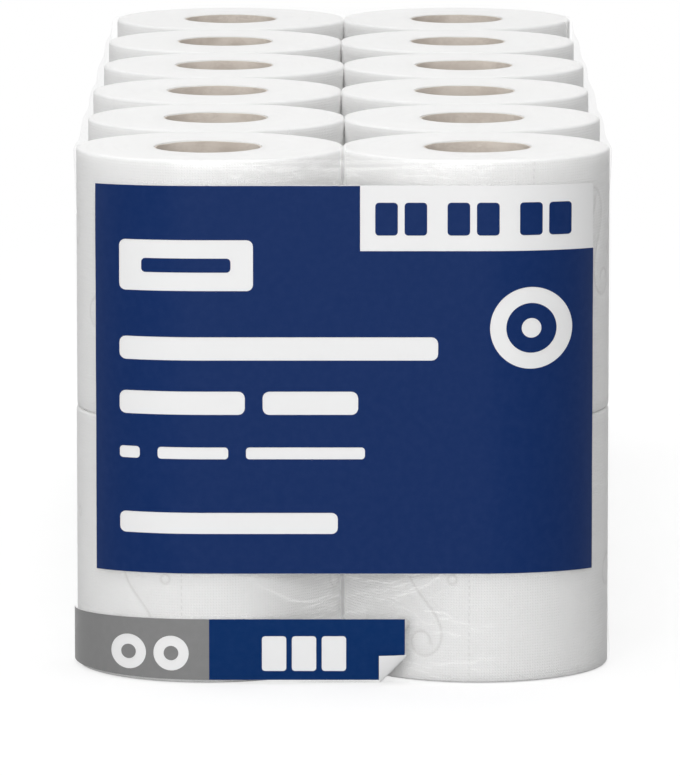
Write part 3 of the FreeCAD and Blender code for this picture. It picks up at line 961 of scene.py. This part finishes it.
def corePiece(name, seed, shift):
    # Inside and outside walls on a grid of (angle, height). A ridge runs up them where the
    # edges of the wound card strip meet, a helix that climbs one strip's width a turn
    low, high = nodeBox(name)
    axis = (low + high) / 2
    axis[0] += shift
    random = np.random.RandomState(seed + 400)
    turn = random.uniform(0, 2 * pi)
    count = coreShape["around"]
    angle = np.linspace(0, 2 * pi, count, endpoint=False)
    rows = coreShape["up"]
    inside = coreRadius - coreShape["wall"]
    tall = high[2] - low[2]
    ragged = coreShape["ragged"] * (softNoise(seed, np.cos(angle), np.sin(angle)) - 1) / 2

    def wall(radius, ridge):
        up = np.linspace(0, 1, rows)[:, None]
        top = tall + ragged[None, :]
        foot = -ragged[None, :]
        height = foot + (top - foot) * up
        climb = (height / coreShape["strip"] - angle[None, :] / (2 * pi) + 20) % 1.0
        distance = np.minimum(climb, 1 - climb) * coreShape["strip"] * 0.9
        seam = np.exp(-((distance / coreShape["seamWidth"]) ** 2))
        reach = radius - ridge * seam
        way = angle[None, :] + turn + 0 * height
        return np.stack([reach * np.cos(way), reach * np.sin(way), height], 2), seam

    inner, seam = wall(inside, coreShape["seamHeight"])
    outer, plain = wall(coreRadius, 0.0)
    own = np.concatenate([inner.reshape(-1, 3), outer.reshape(-1, 3)])
    seams = np.concatenate([seam.ravel(), plain.ravel() * 0])
    size = rows * count
    quads = gridFaces(rows, count, loop=True)
    here = np.arange(count)
    there = (here + 1) % count
    last = size - count
    topRing = np.stack([last + here, last + there, size + last + there, size + last + here], 1)
    footRing = np.stack([here, there, size + there, size + here], 1)
    faces = [quads[:, ::-1], quads + size, topRing[:, ::-1], footRing]
    points = own + [axis[0], axis[1], low[2]]
    addPiece(
        name.replace("core", "card_tube"), points, faces, [coreCard], [name],
        {"rollPlace": own + [0, 0, patternStep * seed], "seam": seams},
    )


seed = 1
for node in sorted(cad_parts):
    if node.startswith("roll_"):
        corePiece(node.replace("roll_", "core_"), seed, rollPiece(node, seed))
        seed += 1
print("rolls and card tubes made:", seed - 1)


# The film's outline: a rounded rectangle, by the way round it from the middle of the front
quarter = corner * pi / 2
wayRound = 4 * flatX + 4 * flatY + 4 * quarter


def outlineAt(way):
    # Place and outward direction on the film's outline, front, right, back and left in turn,
    # with a quarter circle between each two
    way = np.asarray(way, float) % wayRound
    edges = np.cumsum([flatX, quarter, 2 * flatY, quarter, 2 * flatX, quarter, 2 * flatY, quarter])
    t = [way] + [way - e for e in edges]
    zero = np.zeros_like(way)
    part = np.searchsorted(edges, way, side="right")
    turned = [t[i] / corner for i in range(9)]
    straight = [
        (way, zero - wallY, zero, zero - 1),
        None,
        (zero + wallX, t[2] - flatY, zero + 1, zero),
        None,
        (flatX - t[4], zero + wallY, zero, zero + 1),
        None,
        (zero - wallX, flatY - t[6], zero - 1, zero),
        None,
        (t[8] - flatX, zero - wallY, zero, zero - 1),
    ]
    centres = {
        1: (flatX, -flatY, -pi / 2),
        3: (flatX, flatY, 0),
        5: (-flatX, flatY, pi / 2),
        7: (-flatX, -flatY, pi),
    }
    x, y, nx, ny = (np.zeros_like(way) for _ in range(4))
    for i in range(9):
        on = part == i
        if i in centres:
            cx, cy, first = centres[i]
            nx[on] = np.cos(first + turned[i][on])
            ny[on] = np.sin(first + turned[i][on])
            x[on] = cx + corner * nx[on]
            y[on] = cy + corner * ny[on]
        else:
            x[on], y[on], nx[on], ny[on] = (value[on] for value in straight[i])
    return x, y, nx, ny


filmShape = {
    "longSteps": 90,
    "shortSteps": 22,
    "cornerSteps": 20,
    "wallSteps": 60,
    "bendSteps": 6,
    "topSteps": 22,
    "bend": 1.75,
    "looseBend": 2.6,
    "sag": 1.3,
    "waist": 0.35,
    "pucker": 0.55,
    "puckerAlong": 34.0,
    "puckerUp": 90.0,
    "waistDeep": 6.0,
    "pullDeep": 26.0,
    "ripple": 0.22,
    "rippleLong": 2.9,
    "rippleSway": 2.5,
    "swayLong": 60.0,
    "farthest": 0.25,
    "topSag": 0.2,
}


def looseness(way):
    # How free the film is of the rolls at a way round: 0 where a roll backs it, 1 halfway
    # between two rolls
    x, y, nx, ny = outlineAt(way)
    pitch = 2 * flatY / 5
    onSide = np.sin(pi * (y + flatY) / pitch) ** 2 * (np.abs(y) < flatY)
    onEnd = np.cos(pi * x / (2 * flatX)) ** 2
    return np.where(np.abs(x) > flatX + 1e-6, onSide, onEnd)


def wallOut(way, height):
    # How far the film lies outside its plain wall: it sinks between rolls and along the
    # line where the two tiers meet, with puckers, and with ripples near the top and foot
    f = filmShape
    between = looseness(way)
    share = np.clip(height / packTop, 0, 1)
    arch = np.sin(pi * share) ** 0.5
    seam = np.exp(-(((height - packTop / 2) / f["waistDeep"]) ** 2))
    pucker = softNoise(31, way / f["puckerAlong"], height / f["puckerUp"]) * f["pucker"]
    pull = np.exp(-np.minimum(height, packTop - height) / f["pullDeep"])
    sway = f["rippleSway"] * softNoise(9, way / f["swayLong"], height / f["swayLong"])
    ripple = np.sin(way / f["rippleLong"] + sway) * pull * f["ripple"]
    out = -f["sag"] * between * arch - f["waist"] * seam
    return np.minimum(out + (pucker + ripple) * between * arch, f["farthest"])


def wallPoint(way, height, out):
    # A point at a distance out from the film's wall, which bends in at the top and the foot
    # by a quarter circle that is larger where the film is loose
    x, y, nx, ny = outlineAt(way)
    bend = filmShape["bend"] + filmShape["looseBend"] * looseness(way)
    up = np.clip((height - packTop + bend) / bend, 0, 1)
    down = np.clip((filmShape["bend"] - height) / filmShape["bend"], 0, 1)
    reach = wallOut(way, height) + out
    reach = reach - bend * (1 - np.sqrt(1 - up ** 2)) - bend * (1 - np.sqrt(1 - down ** 2))
    return np.stack([x + nx * reach, y + ny * reach, height + 0 * x], -1)


def wrapFilm():
    # Rows of points from the middle line of the foot out to the wall, up it and in to the
    # middle line of the top, each row once round the outline
    halfEnd = (flatX, filmShape["shortSteps"] // 2)
    turned = (quarter, filmShape["cornerSteps"])
    longSide = (2 * flatY, filmShape["longSteps"])
    end = (2 * flatX, filmShape["shortSteps"])
    way = [0.0]
    for length, count in (
        halfEnd, turned, longSide, turned, end, turned, longSide, turned, halfEnd
    ):
        way += [way[-1] + length * (k + 1) / count for k in range(count)]
    way = np.array(way[:-1])
    x, y, nx, ny = outlineAt(way)
    bend = filmShape["bend"] + filmShape["looseBend"] * looseness(way)
    rows = []

    def towardsMiddle(share, height):
        # Between the outline drawn in by the bend and the pack's middle line
        px = (x - nx * bend) * (1 - share)
        py = (y - ny * bend) * (1 - share) + np.clip(y, -flatY, flatY) * share
        rows.append(np.stack([px, py, height + 0 * x], 1))

    half = filmShape["topSteps"] // 2
    for k in range(half, -1, -1):
        towardsMiddle(k / half, 0.0)
    for k in range(1, filmShape["bendSteps"] + 1):
        t = k / filmShape["bendSteps"] * pi / 2
        rows.append(wallPoint(way, filmShape["bend"] * (1 - math.cos(t)) + 0 * way, 0.0))
    foot = filmShape["bend"]
    head = packTop - bend
    for k in range(1, filmShape["wallSteps"]):
        share = k / filmShape["wallSteps"]
        rows.append(wallPoint(way, foot + (head - foot) * share, 0.0))
    for k in range(filmShape["bendSteps"]):
        t = k / filmShape["bendSteps"] * pi / 2
        rows.append(wallPoint(way, head + bend * math.sin(t), 0.0))
    for k in range(filmShape["topSteps"] + 1):
        towardsMiddle(k / filmShape["topSteps"], packTop)
    points = np.stack(rows)
    top = points[-filmShape["topSteps"]:]
    sag = 0.5 + 0.5 * softNoise(3, top[:, :, 0] / 60, top[:, :, 1] / 60)
    top[:, :, 2] -= filmShape["topSag"] * sag
    faces = [gridFaces(len(points), len(way), loop=True)]
    addPiece(
        "film_skin", points.reshape(-1, 3), faces, [clearFilm], ["film_wrap"],
        sharp=80,
    )


def rimNumbers(rows, columns):
    # The numbers of a grid's outermost points, once round it
    index = np.arange(rows * columns).reshape(rows, columns)
    return np.concatenate([index[0], index[1:, -1], index[-1, -2::-1], index[-2:0:-1, 0]])


def sheetOnWall(name, way, height, back, face, material):
    # A thin sheet that lies on the film's wall, from a grid of ways round and heights: a
    # face, a back and a rim
    rows, columns = way.shape
    size = rows * columns
    front = wallPoint(way, height, face).reshape(-1, 3)
    rear = wallPoint(way, height, back).reshape(-1, 3)
    quads = gridFaces(rows, columns)
    rim = rimNumbers(rows, columns)
    after = np.roll(rim, -1)
    walls = np.stack([after, rim, rim + size, after + size], 1)
    addPiece(
        name, np.concatenate([front, rear]), [quads, quads[:, ::-1] + size, walls],
        [material],
    )


sideMiddles = {
    "right": flatX + quarter + flatY,
    "left": 3 * flatX + 3 * quarter + 3 * flatY,
}
sealShape = {
    "flapShort": 158.75,
    "flapLow": 1.9,
    "flapFace": 0.25,
    "low": 96.0,
    "high": 107.0,
    "face": 0.75,
    "lapLow": 34.0,
    "lapHigh": 48.0,
    "lapFace": 0.25,
    "wave": 0.5,
    "back": 0.02,
    "sealBack": 0.26,
    "cornerClear": 0.3,
    "flapUpSteps": 56,
    "flapSteps": 130,
    "sealSteps": 150,
    "lapSteps": 170,
    "bandSteps": 8,
}


def filmSeals():
    # Grids of (height, way along). A flap's half length is its shortest, at half height, plus
    # the rise or fall from there. A seal or lap is a band whose edges wander a little
    f = sealShape
    middle = packTop / 2
    share = np.linspace(0, 1, f["bandSteps"])[:, None]
    for side, centre in sideMiddles.items():
        height = np.linspace(f["flapLow"], packTop - f["flapLow"], f["flapUpSteps"])[:, None]
        half = np.minimum(f["flapShort"] + np.abs(height - middle), flatY - f["cornerClear"])
        across = np.linspace(-1, 1, f["flapSteps"])[None, :] * half
        sheetOnWall(
            "film_flap_" + side, centre + across, height + 0 * across,
            f["back"], f["flapFace"], clearFilm,
        )
        across = np.linspace(-f["flapShort"], f["flapShort"], f["sealSteps"])[None, :]
        low = f["low"] + f["wave"] * softNoise(50, across / 30, across * 0)
        high = f["high"] + f["wave"] * softNoise(51, across / 26, across * 0)
        sheetOnWall(
            "film_seal_" + side, centre + across + 0 * share, low + (high - low) * share,
            f["sealBack"], f["face"], sealFilm,
        )
    reach = flatX + quarter
    centre = 2 * flatX + 2 * quarter + 2 * flatY
    across = np.linspace(-reach, reach, f["lapSteps"])[None, :]
    low = f["lapLow"] + f["wave"] * softNoise(52, across / 40, across * 0)
    height = low + (f["lapHigh"] - low) * share
    sheetOnWall(
        "film_back_lap", centre + across + 0 * share, height, f["back"], f["lapFace"], sealFilm
    )


wrapFilm()
filmSeals()
print("film wrapped")


# Labels
labelShape = {
    "dip": 4.0,
    "paperBack": 0.1,
    "paperFace": 0.35,
    "inkBack": 0.36,
    "inkFace": 0.5,
    "gridAlong": 1.9,
    "gridUp": 4.5,
    "firstAlong": 1.1,
    "firstUp": 1.3,
    "gridClear": 0.9,
    "ripple": 0.05,
    "rippleAlong": 45.0,
    "rippleUp": 60.0,
}


def alongOf(x):
    # Way along the film from the middle of the front to the place with this x
    x = np.asarray(x, float)
    past = np.clip((np.abs(x) - flatX) / corner, 0, 1)
    return np.sign(x) * (np.minimum(np.abs(x), flatX) + corner * np.arcsin(past))


def onFront(along, up, out):
    # The place on the front of the pack at a way along the film and a height, and a distance
    # out from it. The height falls with the depth round the corner, as the print dips
    past = np.clip(np.abs(along) - flatX, 0, None) / corner
    across = np.sign(along) * (np.minimum(np.abs(along), flatX) + (corner + out) * np.sin(past))
    depth = wallY + out - (corner + out) * (1 - np.cos(past))
    dip = math.tan(math.radians(labelShape["dip"])) * corner * (1 - np.cos(past))
    return np.stack([across, -depth, up - dip], -1)


def roundedBox(left, right, low, high, radius, steps=4):
    # Corner points of a box with rounded corners, the way round
    corners = [(right, low, -90), (right, high, 0), (left, high, 90), (left, low, 180)]
    points = []
    for x, z, first in corners:
        cx = x - radius if x == right else x + radius
        cz = z + radius if z == low else z - radius
        for k in range(steps + 1):
            t = math.radians(first + 90 * k / steps)
            points.append((cx + radius * math.cos(t), cz + radius * math.sin(t)))
    return np.array(points)


def discPoints(across, up, radius, count=56):
    # Centre plus the radius times the cosine and sine
    t = np.linspace(0, 2 * pi, count, endpoint=False)
    return np.stack([across + radius * np.cos(t), up + radius * np.sin(t)], 1)


def inside(shape, x, z):
    # Even and odd crossings of a level line through each point with the shape's sides
    odd = np.zeros(len(x), bool)
    for (ax, az), (bx, bz) in zip(shape, np.roll(shape, -1, axis=0)):
        if az != bz:
            meets = (bx - ax) * (z - az) / (bz - az) + ax
            odd ^= ((az > z) != (bz > z)) & (x < meets)
    return odd


def platePiece(name, shapes, back, face, material, stands, extra=None, floor=None):
    # A thin plate on the pack's front. The shapes are closed lines of (x, height), and a
    # place is solid where an odd number of them holds it. They are laid out along the film,
    # filled with triangles, and given a face, a back and side walls
    points = []
    links = []
    total = 0
    shapes = [np.stack([alongOf(shape[:, 0]), shape[:, 1]], 1) for shape in shapes]
    for shape in shapes:
        finer = []
        for first, second in zip(shape, np.roll(shape, -1, axis=0)):
            parts = math.ceil(np.linalg.norm(second - first) / labelShape["gridAlong"])
            finer += [first + (second - first) * k / parts for k in range(parts)]
        finer = np.array(finer)
        number = np.arange(len(finer)) + total
        links.append(np.stack([number, np.roll(number, -1)], 1))
        points.append(finer)
        total += len(finer)
    points = np.concatenate(points)
    low, high = points.min(0), points.max(0)
    u = np.arange(low[0] + labelShape["firstAlong"], high[0], labelShape["gridAlong"])
    v = np.arange(low[1] + labelShape["firstUp"], high[1], labelShape["gridUp"])
    grid = np.stack(np.meshgrid(u, v), 2).reshape(-1, 2)
    nearest = np.min(np.linalg.norm(grid[:, None] - points[None], axis=2), axis=1)
    points = np.concatenate([points, grid[nearest > labelShape["gridClear"]]])
    flat, faces = fillTriangles(points, np.concatenate(links))
    middle = flat[faces].mean(1)
    solid = np.zeros(len(faces), bool)
    for shape in shapes:
        solid ^= inside(shape, middle[:, 0], middle[:, 1])
    used, faces = np.unique(faces[solid], return_inverse=True)
    faces = faces.reshape(-1, 3)
    flat = flat[used]
    waves = flat[:, 0] / labelShape["rippleAlong"], flat[:, 1] / labelShape["rippleUp"]
    ripple = labelShape["ripple"] * softNoise(17, *waves)
    front = onFront(flat[:, 0], flat[:, 1], face + ripple)
    rear = onFront(flat[:, 0], flat[:, 1], back + ripple)
    if floor is not None:
        front[:, 2] = np.maximum(front[:, 2], floor)
        rear[:, 2] = np.maximum(rear[:, 2], floor)
    size = len(flat)
    sides = np.concatenate([faces[:, [0, 1]], faces[:, [1, 2]], faces[:, [2, 0]]])
    key = np.sort(sides, axis=1) @ np.array([size, 1])
    order, counts = np.unique(key, return_counts=True)
    border = sides[np.isin(key, order[counts == 1])]
    walls = np.stack([border[:, 1], border[:, 0], border[:, 0] + size, border[:, 1] + size], 1)
    parts = [faces, faces[:, ::-1] + size, walls]
    body = np.concatenate([front, rear])
    if extra is not None:
        morePoints, moreFaces = extra
        parts.append(moreFaces + len(body))
        body = np.concatenate([body, morePoints])
    return addPiece(name, body, parts, [material], stands, sharp=35)


# The print's places, in millimetres: x from the pack's middle, heights from its foot
frontLabel = {
    "left": -94.9,
    "right": 96.1,
    "low": 43.0,
    "high": 193.2,
    "round": 0.8,
    "inset": 0.15,
}
# Bare bars, rings and blocks in the print. Those below the words' left edge and the label's
# top are given as way in, way down, width, height
labelPrint = {
    "textLeft": -85.5,
    "barRound": 0.28,
    "plate": (0.0, 21.0, 51.2, 19.6),
    "plateRound": 2.4,
    "plateBar": (8.6, 28.1, 34.0, 5.4),
    "bars": [
        (0.0, 58.4, 122.0, 9.0),
        (0.0, 79.4, 48.0, 9.0),
        (54.8, 79.4, 36.6, 9.0),
        (0.0, 101.0, 7.8, 4.6),
        (14.6, 101.0, 27.0, 4.6),
        (48.4, 101.0, 45.6, 4.6),
        (0.0, 126.4, 83.6, 8.2),
    ],
    "boxLeft": 6.6,
    "boxLow": 168.0,
    "blockIn": 5.8,
    "blockDown": 6.6,
    "blockWide": 8.6,
    "blockTall": 12.6,
    "blockRound": 1.4,
    "blockPitch": 11.2,
    "pairPitch": 27.6,
    "pairs": 3,
    "discAcross": 72.1,
    "discUp": 138.2,
    "discRings": (15.8, 9.6, 3.8),
}


def frontLabelPieces():
    # White label stock, and the navy print on it: a field with a white box at its upper
    # right corner, from which the bars, rings and blocks are left out
    f, p = frontLabel, labelPrint
    outline = roundedBox(f["left"], f["right"], f["low"], f["high"], f["round"])
    platePiece(
        "label_sheet", [outline], labelShape["paperBack"], labelShape["paperFace"],
        labelWhite, ["front_label"],
    )

    def bar(x, down, wide, tall, radius=None):
        radius = tall * p["barRound"] if radius is None else radius
        high = f["high"] - down
        return roundedBox(x, x + wide, high - tall, high, radius)

    left, right = f["left"] + f["inset"], f["right"] - f["inset"]
    low, high = f["low"] + f["inset"], f["high"] - f["inset"]
    shapes = [np.array([
        (p["boxLeft"], high),
        (left, high),
        (left, low),
        (right, low),
        (right, p["boxLow"]),
        (p["boxLeft"], p["boxLow"]),
    ])]
    for way, down, wide, tall in p["bars"] + [p["plateBar"]]:
        shapes.append(bar(p["textLeft"] + way, down, wide, tall))
    way, down, wide, tall = p["plate"]
    shapes.append(bar(p["textLeft"] + way, down, wide, tall, p["plateRound"]))
    for radius in p["discRings"]:
        shapes.append(discPoints(p["discAcross"], p["discUp"], radius, 72))
    for pair in range(p["pairs"]):
        for half in range(2):
            x = p["boxLeft"] + p["blockIn"] + p["pairPitch"] * pair + p["blockPitch"] * half
            shapes.append(bar(x, p["blockDown"], p["blockWide"], p["blockTall"], p["blockRound"]))
    platePiece(
        "label_navy", shapes, labelShape["inkBack"], labelShape["inkFace"],
        navyInk, ["front_label_navy_print"],
    )


frontLabelPieces()

stripShape = {
    "low": 1.75,
    "high": 25.4,
    "right": 23.9,
    "fold": 10.0,
    "greyRight": -51.4,
    "middle": 12.0,
    "rings": (-82.4, -66.0),
    "ringRadii": (6.8, 2.8),
    "blocks": (-31.1, -19.6, -8.1),
    "blockWide": 9.4,
    "blockTall": 13.6,
    "blockRound": 1.2,
    "curl": 0.8,
    "curlTurn": 0.79,
    "flapTurn": 0.97,
    "sheet": 0.22,
    "alongSteps": 28,
    "curlSteps": 12,
    "flapSteps": 14,
}


def foldedCorner():
    # The corner turned up over the strip. Away from the fold the sheet's slope turns fast
    # round a small curl and then slowly along the flap, and each point is the sum of the
    # short steps before it. A point is also at a way along the fold
    f = stripShape
    first = np.array([f["right"], f["low"] + f["fold"]])
    second = np.array([f["right"] - f["fold"], f["low"]])
    span = np.linalg.norm(second - first)
    forward = (second - first) / span
    inward = np.array([-1.0, 1.0]) / math.sqrt(2)
    reach = f["fold"] / math.sqrt(2)
    curled = f["curlTurn"] * pi
    turn = np.linspace(0, curled, f["curlSteps"] + 1)
    gone = np.linspace(0, 1, f["flapSteps"] + 1)[1:]
    turn = np.concatenate([turn, curled + (f["flapTurn"] * pi - curled) * gone ** 0.6])
    length = np.concatenate([
        np.full(f["curlSteps"], f["curl"] * curled / f["curlSteps"]),
        np.full(f["flapSteps"], (reach + f["curl"]) / f["flapSteps"]),
    ])
    middle = (turn[1:] + turn[:-1]) / 2
    g = np.concatenate([[0], np.cumsum(-np.cos(middle) * length)])
    h = np.concatenate([[0], np.cumsum(np.sin(middle) * length)])
    g *= np.where(g > 0, reach / g[-1], 1.0)
    used = np.maximum(g, 0)
    s = np.linspace(0, 1, f["alongSteps"] + 1)
    shrink = np.minimum(used, span / 2 - 1e-3)
    place = shrink[:, None] + (span - 2 * shrink[:, None]) * s[None, :]
    gradient = np.stack([np.gradient(g), np.gradient(h)], 1)
    gradient /= np.linalg.norm(gradient, axis=1)[:, None]
    normal = np.stack([-gradient[:, 1], gradient[:, 0]], 1)
    sheets = []
    for side in (0.0, f["sheet"]):
        gg = g + normal[:, 0] * side
        hh = h + normal[:, 1] * side
        flat = first + forward * place[..., None] + inward * gg[:, None, None]
        out = labelShape["paperFace"] + hh[:, None] + 0 * place
        sheets.append(onFront(flat[..., 0], flat[..., 1], out))
    rows, columns = place.shape
    size = rows * columns
    quads = gridFaces(rows, columns)
    rim = rimNumbers(rows, columns)
    after = np.roll(rim, -1)
    walls = np.stack([rim, after, after + size, rim + size], 1)
    points = np.concatenate([part.reshape(-1, 3) for part in sheets])
    return points, np.concatenate([quads[:, ::-1], quads + size, walls])


def stripPieces():
    # The strip runs from the left side of the pack past the middle of its front, with its
    # lower right corner cut off along the fold. Grey print with two rings, then blue print
    # with three blocks
    f = stripShape
    end = -wallX
    folded = [(f["right"] - f["fold"], f["low"]), (f["right"], f["low"] + f["fold"])]
    outline = np.array([(end, f["low"]), *folded, (f["right"], f["high"]), (end, f["high"])])
    platePiece(
        "foot_strip", [outline], labelShape["paperBack"], labelShape["paperFace"],
        labelWhite, ["count_strip"], extra=foldedCorner(), floor=f["low"],
    )
    change = f["greyRight"]
    grey = np.array([(end, f["low"]), (change, f["low"]), (change, f["high"]), (end, f["high"])])
    blue = np.array([(change, f["low"]), *folded, (f["right"], f["high"]), (change, f["high"])])
    greyShapes = [grey]
    for x in f["rings"]:
        greyShapes += [discPoints(x, f["middle"], radius, 48) for radius in f["ringRadii"]]
    half = f["blockTall"] / 2
    low, high = f["middle"] - half, f["middle"] + half
    blueShapes = [blue]
    for x in f["blocks"]:
        blueShapes.append(roundedBox(x, x + f["blockWide"], low, high, f["blockRound"]))
    for name, shapes, ink, slot in (
        ("grey", greyShapes, greyInk, "grey_print"),
        ("blue", blueShapes, blueInk, "blue_print"),
    ):
        platePiece(
            "strip_" + name, shapes, labelShape["inkBack"], labelShape["inkFace"],
            ink, ["count_strip_" + name + "_print"], floor=f["low"],
        )


stripPieces()
print("labels made")


# Floor, world and lamps
studio = {
    "floorSize": 14.0,
    "floorShade": 0.36,
    "floorGlow": 0.7,
    "glowNear": 0.4,
    "glowFar": 1.2,
    "worldLight": 0.22,
    "top": {
        "place": (-0.15, -0.2, 2.3),
        "aim": (0, 0, 0.1),
        "size": (2.2, 2.2),
        "power": 35.5,
        "shines": True,
    },
    "front": {
        "place": (-0.4, -3.2, 0.7),
        "aim": (0, -0.3, 0.1),
        "size": (2.4, 1.7),
        "power": 63.5,
        "shines": True,
    },
    "back": {
        "place": (0.9, 3.0, 0.8),
        "aim": (0, 0.3, 0.1),
        "size": (1.8, 1.2),
        "power": 36.0,
        "shines": False,
    },
    "left": {
        "place": (-2.6, 0.9, 0.7),
        "aim": (-0.1, 0, 0.1),
        "size": (1.4, 0.9),
        "power": 8.0,
        "shines": True,
    },
    "right": {
        "place": (2.6, 1.2, 0.7),
        "aim": (0.1, 0, 0.1),
        "size": (1.4, 0.9),
        "power": 5.5,
        "shines": True,
    },
}


def makeFloor():
    half = studio["floorSize"]
    mesh = bpy.data.meshes.new("floor")
    mesh.from_pydata(
        [(-half, -half, 0), (half, -half, 0), (half, half, 0), (-half, half, 0)], [], [(0, 1, 2, 3)]
    )
    floor = bpy.data.objects.new("floor", mesh)
    bpy.context.scene.collection.objects.link(floor)
    material = bpy.data.materials.new("floor")
    tree = newTree(material)
    path = addNode(tree, "ShaderNodeLightPath")
    seen = mathNode(tree, "MAXIMUM", path.outputs["Is Camera Ray"], path.outputs["Is Glossy Ray"])
    seen = mathNode(tree, "MAXIMUM", seen, path.outputs["Is Transmission Ray"])
    plain = addNode(tree, "ShaderNodeBsdfDiffuse", {"Color": (studio["floorShade"],) * 3 + (1,)})
    glow = addNode(
        tree, "ShaderNodeEmission",
        {"Color": (1, 1, 1, 1), "Strength": mathNode(tree, "MULTIPLY", seen, studio["floorGlow"])},
    )
    both = addNode(tree, "ShaderNodeAddShader", {0: plain.outputs[0], 1: glow.outputs[0]})
    # Away from the pack the floor is plain white to the camera
    place = addNode(tree, "ShaderNodeTexCoord").outputs["Object"]
    away = addNode(tree, "ShaderNodeVectorMath", {0: place}, operation="LENGTH").outputs["Value"]
    share = ramp(tree, away, studio["glowNear"], studio["glowFar"])
    white = addNode(tree, "ShaderNodeEmission", {"Color": (1, 1, 1, 1), "Strength": 1.0})
    shown = addNode(
        tree, "ShaderNodeMixShader",
        {0: mathNode(tree, "MULTIPLY", seen, share), 1: both.outputs[0], 2: white.outputs[0]},
    )
    finishMaterial(tree, shown.outputs[0])
    mesh.materials.append(material)


def makeWorld():
    world = bpy.data.worlds.new("world")
    bpy.context.scene.world = world
    world.use_nodes = True
    tree = world.node_tree
    tree.nodes.clear()
    path = addNode(tree, "ShaderNodeLightPath")
    seen = mathNode(tree, "MAXIMUM", path.outputs["Is Camera Ray"], path.outputs["Is Glossy Ray"])
    seen = mathNode(tree, "MAXIMUM", seen, path.outputs["Is Transmission Ray"])
    strength = mathNode(tree, "MULTIPLY_ADD", seen, 1 - studio["worldLight"], studio["worldLight"])
    light = addNode(tree, "ShaderNodeBackground", {"Color": (1, 1, 1, 1), "Strength": strength})
    out = tree.nodes.new("ShaderNodeOutputWorld")
    tree.links.new(light.outputs[0], out.inputs["Surface"])


def makeLamp(name):
    spec = studio[name]
    data = bpy.data.lights.new(name, "AREA")
    data.shape = "RECTANGLE"
    data.size, data.size_y = spec["size"]
    data.energy = spec["power"]
    lamp = bpy.data.objects.new(name, data)
    lamp.visible_glossy = spec["shines"]
    bpy.context.scene.collection.objects.link(lamp)
    way = np.array(spec["aim"]) - np.array(spec["place"])
    flat = math.hypot(way[0], way[1])
    lamp.location = spec["place"]
    lamp.rotation_euler = (math.atan2(flat, -way[2]), 0.0, math.atan2(-way[0], way[1]))


makeFloor()
makeWorld()
for lampName in ("top", "front", "back", "left", "right"):
    makeLamp(lampName)
bpy.context.scene.view_settings.view_transform = "Standard"
print("studio lit")
